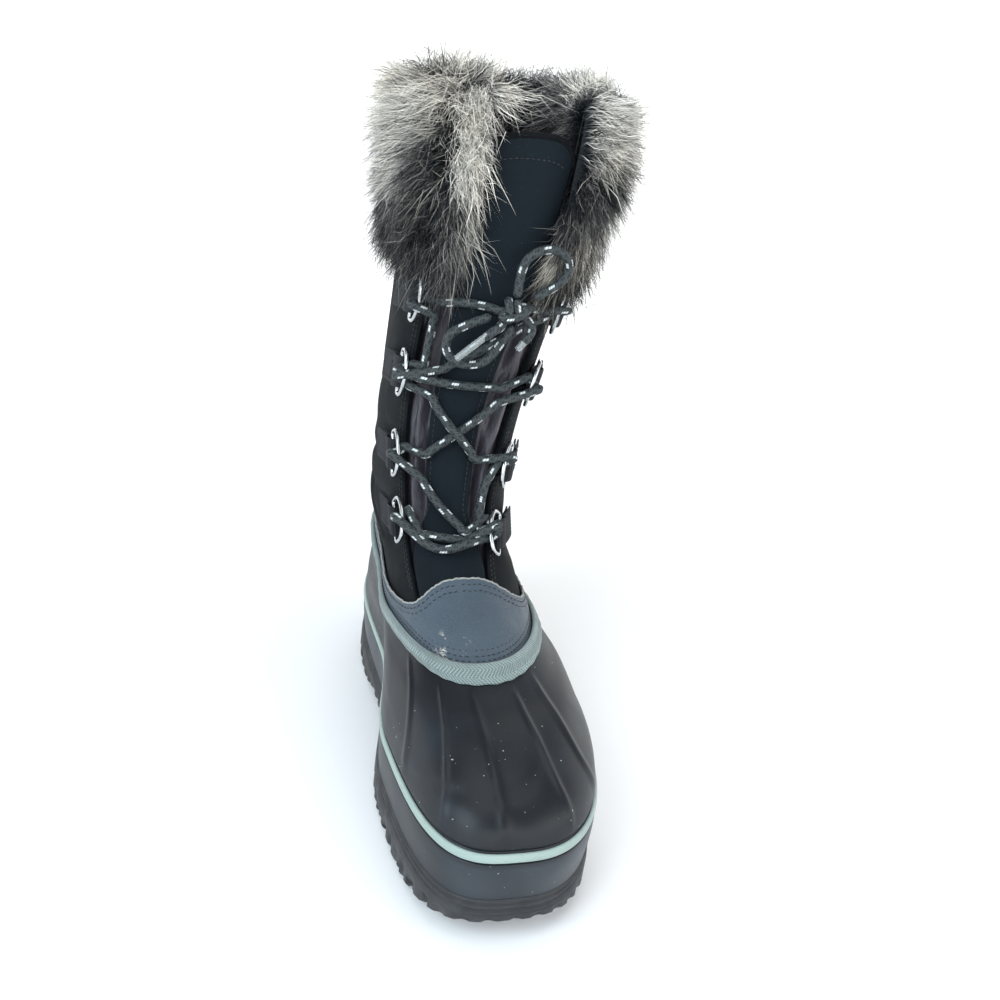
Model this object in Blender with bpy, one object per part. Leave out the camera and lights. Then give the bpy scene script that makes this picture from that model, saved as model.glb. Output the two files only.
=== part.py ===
"""Women's winter boot, left foot: a moulded rubber shell on a lugged outsole, a laced fabric
shaft with a bellows tongue, and a fur cuff. Metres, +Z up, toes towards -Y, +X on the outer
side of the foot. The origin is on the ground under the middle of the heel."""

import math

import bmesh
import bpy
import numpy as np
from mathutils import Vector

# Lengths, widths and heights of the boot
SOLE_LENGTH = 0.288
HEEL_OVERHANG = 0.038
BALL_WIDTH = 0.0995
HEEL_WIDTH = 0.079
SHAFT_WIDTH = 0.096
SHAFT_DEPTH = 0.124
SHELL_BASE = 0.022
SHELL_FRONT = 0.079
SHELL_BACK = 0.086
COLLAR_HEIGHT = 0.298
TOE_INSET = 0.010
SHAFT_LEAN = 0.016
BASE_DIP = 0.004

# Walls, gaps and the sole's own sizes
GAP = 0.0003
CURVED_GAP = 0.0008
SHELL_WALL = 0.003
UPPER_WALL = 0.0026
FLANGE = 0.0006
GROOVE_DEPTH = 0.0016
GROOVE_HEIGHT = 0.0016
TREAD_DEPTH = 0.0045
TREAD_SLOT = 0.005
TREAD_PITCH = 0.0135
HEEL_PITCH = 0.0149
TREAD_ROWS = 10
CHEVRON_RISE = 0.008
ARCH_RISE = 0.0055
TOE_SPRING = 0.011
HEEL_LIFT = 0.003
EDGE_ROUND = 0.0008
LUG_PROUD = 0.0006
LUG_TAPER = 0.0018
INSOLE_THICK = 0.0035
INSOLE_CLEARANCE = 0.0015
RIB_HEIGHT = 0.0018
STRIPE_RECESS = 0.0009
STRIPE_PROUD = 0.0006
BAND_THICK = 0.0013
LEATHER_THICK = 0.0012
TUCK = 0.0006
TONGUE_THICK = 0.0022
GUSSET_THICK = 0.0008
GUSSET_TUCK = 0.005
PLEAT_TOP = 0.0012
PLEAT_DEPTH = 0.003
PLEAT_EDGE = 0.0022

# Throat, tongue, fur and fastenings
THROAT_BASE_OUTER = 0.019
THROAT_BASE_INNER = 0.038
THROAT_TOP_OUTER = 0.038
THROAT_TOP_INNER = 0.047
TONGUE_MARGIN_OUTER = 0.014
TONGUE_MARGIN_INNER = 0.018
TONGUE_TWIST = 0.009
TONGUE_GAP = 0.001
FUR_OUT = 0.017
FUR_IN = 0.007
FUR_RISE = 0.038
FUR_CLEARANCE = 0.001
FUR_END_GAP = 0.003
LOCK_LENGTH = 0.019
LOCK_RADIUS = 0.0058
RING_WIRE = 0.0022
RING_LENGTH = 0.023
RING_REACH = 0.009
RING_SETBACK = 0.0045
RING_LIFT = 0.0042
RING_TILT = 0.35
RING_CLEARANCE = 0.0008
LACE_CLEARANCE = 0.0009
WEBBING_WIDTH = 0.0165
WEBBING_REACH = 0.022
WEBBING_THICK = 0.0012
WEBBING_SEAM = 0.0075
LACE_DIAMETER = 0.0045
KNOT_SIZE = (0.016, 0.012, 0.009)
AGLET_DIAMETER = 0.0036

# Each row is one slanted ring of the outer form, from the feather line up to the fur's tip.
# toe and depth_f set its front point, heel and depth_b its back point, low and high the height.
# ball, waist_o, waist_i, heel_w and shaft are half widths; power squares the ring's ends.
COLUMNS = ("toe", "depth_f", "heel", "depth_b", "low_f", "high_f", "low_b", "high_b",
           "ball", "waist_o", "waist_i", "heel_w", "shaft", "power", "dip", "lean")
SECTIONS = np.array([
    # toe  dep_f  heel  dep_b  lowf  higf  lowb  higb  ball  wo    wi    hw    shaft power dip   lean
    (1.00, 0.00, 1.00, 0.00, 0.00, 0.00, 0.00, 0.00, 0.500, 0.385, 0.355, 0.495, 0.00, 2.90, 1.00, 0.00),
    (1.006, 0.00, 1.06, 0.00, 0.20, 0.00, 0.15, 0.00, 0.508, 0.393, 0.362, 0.510, 0.00, 2.90, 0.95, 0.00),
    (1.003, 0.00, 1.07, 0.00, 0.32, 0.00, 0.24, 0.00, 0.508, 0.395, 0.364, 0.512, 0.00, 2.90, 0.90, 0.00),
    (0.997, 0.00, 1.07, 0.00, 0.41, 0.00, 0.31, 0.00, 0.506, 0.395, 0.364, 0.512, 0.00, 2.85, 0.85, 0.00),
    (0.974, 0.00, 1.06, 0.00, 0.58, 0.00, 0.43, 0.00, 0.498, 0.390, 0.364, 0.508, 0.00, 2.75, 0.70, 0.00),
    (0.924, 0.00, 1.045, 0.00, 0.71, 0.00, 0.54, 0.00, 0.476, 0.386, 0.364, 0.500, 0.00, 2.60, 0.50, -0.05),
    (0.846, 0.00, 1.03, 0.00, 0.82, 0.00, 0.68, 0.00, 0.450, 0.370, 0.350, 0.480, 0.00, 2.50, 0.20, -0.08),
    (0.752, 0.00, 1.01, 0.00, 0.89, 0.00, 0.84, 0.00, 0.424, 0.358, 0.343, 0.462, 0.00, 2.42, 0.90, -0.12),
    (0.660, 0.00, 0.99, 0.00, 1.00, 0.00, 1.00, 0.00, 0.402, 0.350, 0.340, 0.446, 0.00, 2.35, 1.50, -0.18),
    (0.582, 0.00, 0.97, 0.00, 1.00, 0.05, 1.00, 0.048, 0.386, 0.352, 0.346, 0.446, 0.00, 2.30, 1.00, -0.26),
    (0.484, 0.02, 0.965, 0.00, 1.00, 0.115, 1.00, 0.105, 0.340, 0.340, 0.338, 0.430, 0.04, 2.25, 0.50, -0.38),
    (0.352, 0.12, 0.90, 0.01, 1.00, 0.195, 1.00, 0.175, 0.245, 0.255, 0.252, 0.320, 0.13, 2.22, 0.00, -0.38),
    (0.215, 0.27, 0.62, 0.09, 1.00, 0.290, 1.00, 0.255, 0.135, 0.140, 0.140, 0.175, 0.255, 2.20, 0.00, -0.28),
    (0.090, 0.44, 0.27, 0.21, 1.00, 0.405, 1.00, 0.365, 0.050, 0.052, 0.052, 0.065, 0.365, 2.20, 0.00, -0.08),
    (0.00, 0.585, 0.00, 0.325, 1.00, 0.545, 1.00, 0.505, 0.00, 0.00, 0.00, 0.00, 0.450, 2.16, 0.00, 0.22),
    (0.00, 0.590, 0.00, 0.375, 1.00, 0.695, 1.00, 0.655, 0.00, 0.00, 0.00, 0.00, 0.480, 2.15, 0.00, 0.52),
    (0.00, 0.585, 0.00, 0.415, 1.00, 0.850, 1.00, 0.820, 0.00, 0.00, 0.00, 0.00, 0.495, 2.15, 0.00, 0.78),
    (0.00, 0.570, 0.00, 0.440, 1.00, 1.000, 1.00, 0.985, 0.00, 0.00, 0.00, 0.00, 0.500, 2.15, 0.00, 1.00),
    (0.00, 0.555, 0.00, 0.455, 1.00, 1.130, 1.00, 1.120, 0.00, 0.00, 0.00, 0.00, 0.502, 2.15, 0.00, 1.15),
])
STRIPE_LOW, STRIPE_HIGH, STRIPE_EDGE = 2.0, 3.0, 0.11
TOPLINE = 8.0
BAND_LOW, BAND_HIGH, BAND_LAP = 7.62, 8.16, 0.04
THROAT_BASE = 10.1
COLLAR = 17.0
TONGUE_TOP = 17.35
GUSSET_LOW, GUSSET_HIGH = 10.5, 15.4

# The arch begins and ends at these shares of the toe's reach in front of the heel
ARCH_FRONT = (0.473, 0.385)
ARCH_BACK = (0.249, 0.168)
# The leather's top edge: its section, the crown's rise, middle and half width in degrees, and
# how far and between which angles the edge turns up again at the sides
LEATHER_EDGE = 8.62
CROWN_RISE, CROWN_TURN, CROWN_WIDTH, CROWN_POWER = 1.46, 3.0, 45.0, 2.4
FLANK_RISE, FLANK_START, FLANK_END = 0.22, 72.0, 95.0
# The cuff's height at the back, as a share of its height in front
FUR_BACK_SHARE = 0.727

# Where each pair of lace rings sits, as a section number, from the instep up
RING_ROWS = (10.75, 12.15, 13.65, 14.85)
# The toe ribs fan out: the angle of each at the topline and at the stripe, in degrees
RIBS = ((-50.0, -60.0), (-26.0, -31.0), (-6.0, -2.0), (15.0, 22.0), (31.0, 46.0))
RIB_HALF = 3.6
FAN_TOP, FAN_LOW = 7.6, 3.0

# Each run of lace goes from one ring (side, number) to another and may bow up or down the shaft
OUTER, INNER = 1, -1
LACE_RUNS = (
    ((INNER, 3), (OUTER, 3), 0.00),
    ((OUTER, 3), (INNER, 2), 0.00),
    ((INNER, 2), (OUTER, 1), 0.00),
    ((OUTER, 1), (INNER, 1), 0.10),
    ((INNER, 1), (OUTER, 1), -0.14),
    ((OUTER, 1), (OUTER, 2), 0.00),
    ((OUTER, 2), (INNER, 3), 0.00),
    ((INNER, 3), (OUTER, 4), 0.00),
    ((INNER, 4), (INNER, 3), 0.00),
    ((INNER, 4), (INNER, 0), -0.05),
    ((OUTER, 4), (OUTER, 0), 0.00),
)
# Places on the lace: section number, distance round from the front, lift off the fabric
KNOT_PLACE = (14.92, 0.002, 0.0085)
BOW_UP = ((15.10, 0.0026, 0.0092), (15.51, 0.0015, 0.0105), (15.72, 0.0035, 0.0125),
          (15.83, 0.0100, 0.0135), (15.77, 0.0173, 0.0140), (15.59, 0.0212, 0.0140),
          (15.38, 0.0197, 0.0130), (15.11, 0.0102, 0.0100))
BOW_DOWN = ((14.80, -0.0064, 0.0097), (14.58, -0.0174, 0.0112), (14.39, -0.0213, 0.0115),
            (14.17, -0.0198, 0.0112), (14.04, -0.0136, 0.0110), (14.08, -0.0062, 0.0112),
            (14.26, -0.0018, 0.0115), (14.69, 0.0042, 0.0097))
END_SHORT = ((14.82, 0.0090, 0.0090), (14.66, 0.0125, 0.0115), (14.50, 0.0105, 0.0125))
AGLET_SHORT = ((14.483, 0.0103, 0.0125), (14.33, 0.0078, 0.0125))
END_LONG = ((14.735, -0.0008, 0.0105), (14.66, -0.003, 0.0145), (14.60, -0.0055, 0.0165))
AGLET_LONG = ((14.578, -0.0064, 0.0168), (14.12, -0.0155, 0.0165))

# Section numbers at which pieces have a row of points; between them every surface is straight
FACET_ROWS = (0.0, 1.0, 1.94, 2.06, 2.94, 3.06, 3.5, 4.0, 4.5, 5.0, 5.6, 6.3, 7.0, 7.5, 8.0,
              8.6, 9.2, 9.7, 10.1, 10.5, 10.95, 11.6, 12.4, 13.2, 14.1, 15.0, 16.0, 17.0, 18.0)

TOE_REACH = SOLE_LENGTH - HEEL_OVERHANG - FLANGE
HEEL_REACH = HEEL_OVERHANG - FLANGE
UPPER_OUT = -(SHELL_WALL + GAP)
UPPER_IN = UPPER_OUT - UPPER_WALL


def smoothstep(low, high, value):
    """0 below low, 1 above high, smooth between."""
    share = np.clip((value - low) / (high - low), 0.0, 1.0)
    return share * share * (3.0 - 2.0 * share)


def section_values(u):
    """The table's columns at a section number that need not be whole, on a smooth curve."""
    u = min(max(u, 0.0), len(SECTIONS) - 1.0)
    i = min(int(u), len(SECTIONS) - 2)
    f = u - i
    before, here = SECTIONS[max(i - 1, 0)], SECTIONS[i]
    after, later = SECTIONS[i + 1], SECTIONS[min(i + 2, len(SECTIONS) - 1)]
    slope_here, slope_after = (after - before) / 2.0, (later - here) / 2.0
    f2, f3 = f * f, f * f * f
    mixed = ((2 * f3 - 3 * f2 + 1) * here + (f3 - 2 * f2 + f) * slope_here
             + (3 * f2 - 2 * f3) * after + (f3 - f2) * slope_after)
    return dict(zip(COLUMNS, mixed))


def form_point(u, phi):
    """A point of the outer form: u counts sections upwards, phi turns from the toe (0) to the
    outer side (90 degrees) and the heel (180 degrees)."""
    s = section_values(u)
    front_y = -(TOE_REACH * s["toe"] + SHAFT_DEPTH * s["depth_f"])
    back_y = HEEL_REACH * s["heel"] + SHAFT_DEPTH * s["depth_b"]
    front_z = (SHELL_BASE + (SHELL_FRONT - SHELL_BASE) * s["low_f"]
               + (COLLAR_HEIGHT - SHELL_FRONT) * s["high_f"])
    back_z = (SHELL_BASE + (SHELL_BACK - SHELL_BASE) * s["low_b"]
              + (COLLAR_HEIGHT - SHELL_BACK) * s["high_b"])
    side = 1.0 if math.sin(phi) >= 0.0 else -1.0
    cosine, sine = math.cos(phi), abs(math.sin(phi))
    exponent = 2.0 / s["power"]
    along = (1.0 - math.copysign(abs(cosine) ** exponent, cosine)) / 2.0
    waist = s["waist_o"] if side > 0 else s["waist_i"]
    to_waist = smoothstep(0.30, 0.60, along)
    to_heel = smoothstep(0.58, 0.86, along)
    half = (BALL_WIDTH * (s["ball"] + (waist - s["ball"]) * to_waist)
            + (HEEL_WIDTH * s["heel_w"] - BALL_WIDTH * waist) * to_heel
            + SHAFT_WIDTH * s["shaft"])
    toe_bend = -TOE_INSET * s["toe"] * max(0.0, 1.0 - along / 0.36) ** 2
    x = SHAFT_LEAN * s["lean"] + toe_bend + side * half * sine ** exponent
    y = front_y + (back_y - front_y) * along
    z = front_z + (back_z - front_z) * along - BASE_DIP * s["dip"] * math.sin(math.pi * along) ** 2
    return Vector((x, y, z))


def form_normal(u, phi):
    """The outward direction of the form, from two short steps along it."""
    step_u, step_phi = 0.02, 0.012
    low, high = max(u - step_u, 0.0), min(u + step_u, len(SECTIONS) - 1.0)
    up = form_point(high, phi) - form_point(low, phi)
    round_ = form_point(u, phi + step_phi) - form_point(u, phi - step_phi)
    return round_.cross(up).normalized()


def on_form(u, phi, lift):
    """A point that stands off the form by lift, straight between the shared rows so that pieces
    laid over one another keep their gap."""
    last = len(FACET_ROWS) - 2
    k = min(sum(1 for row in FACET_ROWS[1:] if row <= u), last)
    low, high = FACET_ROWS[k], FACET_ROWS[k + 1]
    share = (u - low) / (high - low)
    below = form_point(low, phi) + form_normal(low, phi) * lift
    above = form_point(high, phi) + form_normal(high, phi) * lift
    return below.lerp(above, share)


def rows_between(low, high):
    """The shared rows inside a range, with the range's own ends."""
    return [low] + [row for row in FACET_ROWS if low + 0.03 < row < high - 0.03] + [high]


def angle_for_arc(u, width):
    """The angle at which a ring is this far round from its front, measured along the surface."""
    phi, travelled = 0.0, 0.0
    previous = form_point(u, 0.0)
    step = math.radians(1.0)
    while travelled < width and phi < math.pi:
        phi += step
        here = form_point(u, phi)
        travelled += (here - previous).length
        previous = here
    return phi


def fanned(u, phi):
    """The angle of a column at a section: the columns spread with the ribs towards the toe."""
    turn = math.degrees(math.atan2(math.sin(phi), math.cos(phi)))
    tops = [-180.0] + [top for top, low in RIBS] + [180.0]
    spread = [0.0] + [low - top for top, low in RIBS] + [0.0]
    share = min(max((FAN_TOP - u) / (FAN_TOP - FAN_LOW), 0.0), 1.0)
    return math.radians(turn + share * float(np.interp(turn, tops, spread)))


def rib_lift(u, phi):
    """Height of the moulded toe ribs, which fade in at the topline and at the stripe."""
    fade = smoothstep(STRIPE_HIGH, 3.8, u) * (1.0 - smoothstep(6.9, 7.45, u))
    for centre, _ in RIBS:
        away = abs(math.degrees(phi) - centre) / RIB_HALF
        if away < 0.99:
            return RIB_HEIGHT * fade * (1.0 - away) ** 0.5
    return 0.0


def ring_angles():
    """Angles round the shell: the edges and crest of each rib, and even steps elsewhere."""
    found = []
    for centre, _ in RIBS:
        found += [centre - RIB_HALF, centre, centre + RIB_HALF]
    found += [-38.0, -16.0, 4.5, 23.0]
    found += [48.0, 64.0, 79.0, 94.0, 109.0, 123.0, 137.0, 151.0, 166.0]
    found += [-66.0, -80.0, -94.0, -108.0, -122.0, -136.0, -151.0, -166.0, 180.0]
    return [math.radians(a) for a in sorted(found)]


def even_angles(count):
    """Angles in equal steps, the same on both sides, with one at the toe and one at the heel."""
    return [2.0 * math.pi * i / count for i in range(count)]


def new_object(name, vertices, faces, material, smooth=True):
    """An object from vertices and faces, with its normals pointing out."""
    mesh = bpy.data.meshes.new(name)
    mesh.from_pydata([tuple(v) for v in vertices], [], faces)
    work = bmesh.new()
    work.from_mesh(mesh)
    bmesh.ops.remove_doubles(work, verts=work.verts, dist=1e-6)
    bmesh.ops.recalc_face_normals(work, faces=work.faces)
    work.to_mesh(mesh)
    work.free()
    mesh.materials.append(material)
    if smooth:
        mesh.shade_smooth()
        mesh.set_sharp_from_angle(angle=math.radians(40.0))
    obj = bpy.data.objects.new(name, mesh)
    bpy.context.scene.collection.objects.link(obj)
    return obj


def sweep(name, angles, profile, material, closed=True):
    """A solid whose closed outline profile(phi), a list of (section, lift), runs round the form."""
    vertices, faces = [], []
    for phi in angles:
        vertices += [on_form(u, fanned(u, phi), lift) for u, lift in profile(phi)]
    size = len(profile(angles[0]))
    turns = len(angles) if closed else len(angles) - 1
    for j in range(turns):
        here, there = j * size, ((j + 1) % len(angles)) * size
        for k in range(size):
            nxt = (k + 1) % size
            faces.append((here + k, here + nxt, there + nxt, there + k))
    if not closed:
        faces.append(tuple(range(size)))
        faces.append(tuple(range(len(vertices) - size, len(vertices))))
    return new_object(name, vertices, faces, material)


def thick_patch(name, rows, columns, outer, inner, material, keep=None, closed=False):
    """A wall between two grids of points. keep(i, j) leaves cells out, as for the throat."""
    across = columns if closed else columns - 1
    kept = {(i, j) for i in range(rows - 1) for j in range(across)
            if keep is None or keep(i, j)}

    def index(i, j, layer):
        return layer * rows * columns + i * columns + j % columns

    vertices = ([outer(i, j) for i in range(rows) for j in range(columns)]
                + [inner(i, j) for i in range(rows) for j in range(columns)])
    faces = []
    for i, j in kept:
        corners = ((i, j), (i, j + 1), (i + 1, j + 1), (i + 1, j))
        faces.append(tuple(index(a, b, 0) for a, b in corners))
        faces.append(tuple(index(a, b, 1) for a, b in reversed(corners)))
        sides = (((i - 1, j), 0), ((i, j + 1), 1), ((i + 1, j), 2), ((i, j - 1), 3))
        for neighbour, k in sides:
            if closed:
                neighbour = (neighbour[0], neighbour[1] % columns)
            if neighbour in kept:
                continue
            a, b = corners[k], corners[(k + 1) % 4]
            faces.append((index(*a, 0), index(*a, 1), index(*b, 1), index(*b, 0)))
    used = sorted({v for face in faces for v in face})
    renumber = {old: new for new, old in enumerate(used)}
    faces = [tuple(renumber[v] for v in face) for face in faces]
    return new_object(name, [vertices[v] for v in used], faces, material)


def smooth_route(points, count):
    """Points along a smooth curve through the given ones, evenly spread between them."""
    given = [Vector(p) for p in points]
    padded = [given[0] * 2 - given[1]] + given + [given[-1] * 2 - given[-2]]
    route = []
    for n in range(count):
        place = n * (len(given) - 1) / (count - 1)
        i = min(int(place), len(given) - 2)
        f = place - i
        a, b, c, d = padded[i:i + 4]
        route.append(0.5 * ((2 * b) + (c - a) * f + (2 * a - 5 * b + 4 * c - d) * f * f
                            + (3 * b - a - 3 * c + d) * f ** 3))
    return route


def tube(name, route, diameter, material, sides=8):
    """A round cord with closed ends along a route of points."""
    vertices, faces = [], []
    normal = None
    for n, point in enumerate(route):
        ahead = (route[min(n + 1, len(route) - 1)] - route[max(n - 1, 0)]).normalized()
        if normal is None:
            normal = ahead.orthogonal()
        normal = (normal - ahead * normal.dot(ahead)).normalized()
        side = ahead.cross(normal)
        for k in range(sides):
            turn = 2.0 * math.pi * k / sides
            vertices.append(point + (normal * math.cos(turn) + side * math.sin(turn)) * diameter / 2)
    for n in range(len(route) - 1):
        for k in range(sides):
            nxt = (k + 1) % sides
            faces.append((n * sides + k, n * sides + nxt, (n + 1) * sides + nxt, (n + 1) * sides + k))
    faces.append(tuple(range(sides)))
    faces.append(tuple(range(len(vertices) - sides, len(vertices))))
    return new_object(name, vertices, faces, material)


def apply_boolean(target, others, operation):
    """Joins or cuts target with other objects, one by one, and removes them."""
    for other in others:
        modifier = target.modifiers.new("join", "BOOLEAN")
        modifier.operation = operation
        modifier.solver = "EXACT"
        modifier.object = other
        graph = bpy.context.evaluated_depsgraph_get()
        mesh = bpy.data.meshes.new_from_object(target.evaluated_get(graph))
        target.modifiers.clear()
        target.data = mesh
        bpy.data.objects.remove(other)


def make_material(name, colour, roughness, metallic=0.0):
    material = bpy.data.materials.new(name)
    material.use_nodes = True
    shader = material.node_tree.nodes["Principled BSDF"]
    shader.inputs["Base Color"].default_value = (*colour, 1.0)
    shader.inputs["Roughness"].default_value = roughness
    shader.inputs["Metallic"].default_value = metallic
    return material


def sole_bottom(y):
    """Height of the tread: flat heel and forefoot, a raised arch, and the toe's spring."""
    share = -y / TOE_REACH
    front = 1.0 - smoothstep(ARCH_FRONT[1], ARCH_FRONT[0], share)
    arch = front * smoothstep(ARCH_BACK[1], ARCH_BACK[0], share)
    toe_start = -(TOE_REACH * 0.80)
    toe_end = -(TOE_REACH + FLANGE)
    spring = np.clip((toe_start - y) / (toe_start - toe_end), 0.0, 1.0) ** 1.6
    heel_end = HEEL_REACH + FLANGE
    heel_lift = np.clip((y - heel_end * 0.72) / (heel_end * 0.28), 0.0, 1.0) ** 2
    return ARCH_RISE * float(arch) + TOE_SPRING * float(spring) + HEEL_LIFT * float(heel_lift)


def outline_point(phi, outset):
    """A point beside the shell's feather line, moved out sideways."""
    point, normal = form_point(0.0, phi), form_normal(0.0, phi)
    flat = Vector((normal.x, normal.y, 0.0)).normalized()
    return Vector((point.x, point.y, point.z)) + flat * outset


def outsole_rings():
    """The outsole's side from the top down, as (outset, share of the side's height, drop)."""
    g, d = GROOVE_HEIGHT, GROOVE_DEPTH
    return (
        (FLANGE - EDGE_ROUND, 0.0, 0.0),
        (FLANGE, 0.0, g),
        (FLANGE - d, 0.0, 1.5 * g),
        (FLANGE, 0.0, 2.6 * g),
        (FLANGE - d, 0.0, 3.4 * g),
        (FLANGE + LUG_PROUD, 0.0, 4.4 * g),
        (FLANGE, 0.75, 0.0),
        (FLANGE - LUG_TAPER, 1.0, 0.0),
    )


def make_outsole(material):
    angles = even_angles(48)
    rings = outsole_rings()
    vertices, faces = [], []
    for outset, share, drop in rings:
        for phi in angles:
            point = outline_point(phi, outset)
            top = point.z - GAP
            bottom = sole_bottom(point.y)
            point.z = (top - drop) if share == 0.0 else top + (bottom - top) * share
            vertices.append(point)
    count = len(angles)
    for i in range(len(rings) - 1):
        for j in range(count):
            nxt = (j + 1) % count
            faces.append((i * count + j, i * count + nxt, (i + 1) * count + nxt, (i + 1) * count + j))
    for ring in (0, len(rings) - 1):
        start = ring * count
        for j in range(count // 2):
            a, b = start + j, start + j + 1
            c, d = start + (count - j - 1) % count, start + (count - j) % count
            faces.append(tuple(dict.fromkeys((a, b, c, d))))
    sole = new_object("outsole", vertices, faces, material)
    apply_boolean(sole, [tread_cutter()], "DIFFERENCE")
    sole.data.materials.clear()
    sole.data.materials.append(material)
    sole.data.shade_smooth()
    sole.data.set_sharp_from_angle(angle=math.radians(35.0))
    return sole


def tread_cutter():
    """Slots across the tread: chevrons under the forefoot and straight ones under the heel."""
    reach = BALL_WIDTH
    low, high = -SHELL_BASE, TREAD_DEPTH
    vertices, faces = [], []

    def slot(y, rise, top):
        base = len(vertices)
        for z in (low, top):
            for x, lift in ((-reach, rise), (0.0, 0.0), (reach, rise)):
                vertices.append((x, y + lift, z))
                vertices.append((x, y + lift + TREAD_SLOT, z))
        for k in (0, 2):
            faces.append((base + k, base + k + 1, base + k + 3, base + k + 2))
            faces.append((base + k + 6, base + k + 8, base + k + 9, base + k + 7))
            faces.append((base + k, base + k + 2, base + k + 8, base + k + 6))
            faces.append((base + k + 1, base + k + 7, base + k + 9, base + k + 3))
        faces.append((base, base + 6, base + 7, base + 1))
        faces.append((base + 4, base + 5, base + 11, base + 10))

    first = -(TOE_REACH * 0.95)
    for n in range(TREAD_ROWS):
        y = first + n * TREAD_PITCH
        slot(y, CHEVRON_RISE, high + sole_bottom(y))
    for n in (-2, -1, 0, 1):
        y = (n + 0.5) * HEEL_PITCH - TREAD_SLOT / 2
        slot(y, 0.0, high)
    return new_object("tread_cutter", vertices, faces, None, smooth=False)


def make_insole(material):
    """A flat footbed that lies on the outsole, inside the shell."""
    angles = even_angles(36)
    inset = -(SHELL_WALL + INSOLE_CLEARANCE)
    vertices, faces = [], []
    for thick in (0.0, INSOLE_THICK):
        for phi in angles:
            point = outline_point(phi, inset)
            point.z += thick + GAP
            vertices.append(point)
    count = len(angles)
    for j in range(count):
        nxt = (j + 1) % count
        faces.append((j, nxt, count + nxt, count + j))
    for start in (0, count):
        for j in range(count // 2):
            a, b = start + j, start + j + 1
            c, d = start + (count - j - 1) % count, start + (count - j) % count
            faces.append(tuple(dict.fromkeys((a, b, c, d))))
    return new_object("insole", vertices, faces, material)


def make_shell(material):
    """The moulded rubber shell, open at the topline and underneath, with ribs on its toe."""
    outer = [row for row in FACET_ROWS if row <= TOPLINE]
    inner = [TOPLINE, 7.5, 6.3, 5.0, 3.5, 1.94, 0.0]

    def profile(phi):
        points = []
        for u in outer:
            recess = -STRIPE_RECESS if STRIPE_LOW < u < STRIPE_HIGH else 0.0
            points.append((u, recess + rib_lift(u, phi)))
        return points + [(u, -SHELL_WALL) for u in inner]

    return sweep("rubber_shell", ring_angles(), profile, material)


def make_stripe(material):
    """The pale line round the shell, laid in its groove."""
    low, high = STRIPE_LOW + STRIPE_EDGE, STRIPE_HIGH - STRIPE_EDGE
    inside = -STRIPE_RECESS + GAP
    return sweep("foxing_stripe", ring_angles(),
                 lambda phi: [(low, inside), (low, STRIPE_PROUD), (high, STRIPE_PROUD), (high, inside)],
                 material)


def make_band(material):
    """The woven tape bound over the shell's top edge."""
    under, over = GAP, GAP + BAND_THICK
    lip = UPPER_OUT + CURVED_GAP + LEATHER_THICK + CURVED_GAP
    return sweep("topline_band", ring_angles(),
                 lambda phi: [(BAND_LOW, under), (BAND_LOW, over), (BAND_HIGH, over),
                              (BAND_HIGH, lip), (TOPLINE + BAND_LAP, lip), (TOPLINE + BAND_LAP, under)],
                 material)


def overlay_top(phi):
    """Section number of the leather's wavy top edge, which has a low crown in front."""
    turn = math.degrees(math.atan2(math.sin(phi), math.cos(phi)))
    crown = CROWN_RISE * math.exp(-(abs(turn - CROWN_TURN) / CROWN_WIDTH) ** CROWN_POWER)
    flank = FLANK_RISE * float(smoothstep(FLANK_START, FLANK_END, abs(turn)))
    return LEATHER_EDGE + crown + flank


def make_overlay(material):
    """The leather mudguard round the shaft's foot, between the band and the fabric."""
    inside = UPPER_OUT + CURVED_GAP
    outside = inside + LEATHER_THICK
    low = TOPLINE + 0.08

    def profile(phi):
        top = overlay_top(phi)
        rows = [low] + [row if row < top - 0.08 else top for row in (8.6, 9.2, 9.7)] + [top]
        return [(u, outside) for u in rows] + [(u, inside) for u in reversed(rows)]

    return sweep("leather_overlay", ring_angles(), profile, material)


def throat_half(u, side):
    """Distance round the surface from the front to the throat's edge on one side."""
    share = float(smoothstep(THROAT_BASE - 0.6, COLLAR, u))
    base, top = ((THROAT_BASE_OUTER, THROAT_TOP_OUTER) if side > 0
                 else (THROAT_BASE_INNER, THROAT_TOP_INNER))
    return base + (top - base) * share


def throat_angle(u, side):
    return side * angle_for_arc(u, throat_half(u, side))


def make_upper(material):
    """The fabric shaft: a hollow wall with a throat, tucked into the shell."""
    rows = rows_between(7.5, COLLAR)
    in_throat, round_back = 6, 28
    columns = in_throat + round_back
    base_row = rows.index(THROAT_BASE)

    def place(i, j, lift):
        u = rows[i]
        inner, outer = throat_angle(u, -1), throat_angle(u, 1)
        if j <= in_throat:
            phi = inner + (outer - inner) * j / in_throat
        else:
            phi = outer + (2.0 * math.pi + inner - outer) * (j - in_throat) / round_back
        return on_form(u, phi, lift if u > TOPLINE else lift - TUCK)

    return thick_patch("upper", len(rows), columns,
                       lambda i, j: place(i, j, UPPER_OUT), lambda i, j: place(i, j, UPPER_IN),
                       material, keep=lambda i, j: i < base_row or j >= in_throat, closed=True)


def tongue_half(u, side):
    """Distance round the surface from the front to the tongue's edge on one side. Half-way up,
    the tongue has slipped towards the inner side."""
    slip = TONGUE_TWIST * math.exp(-((u - 13.9) / 1.7) ** 2)
    margin = TONGUE_MARGIN_OUTER + slip if side > 0 else TONGUE_MARGIN_INNER - 0.2 * slip
    return throat_half(u, side) - TONGUE_GAP - margin * float(smoothstep(THROAT_BASE, 11.6, u))


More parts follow.
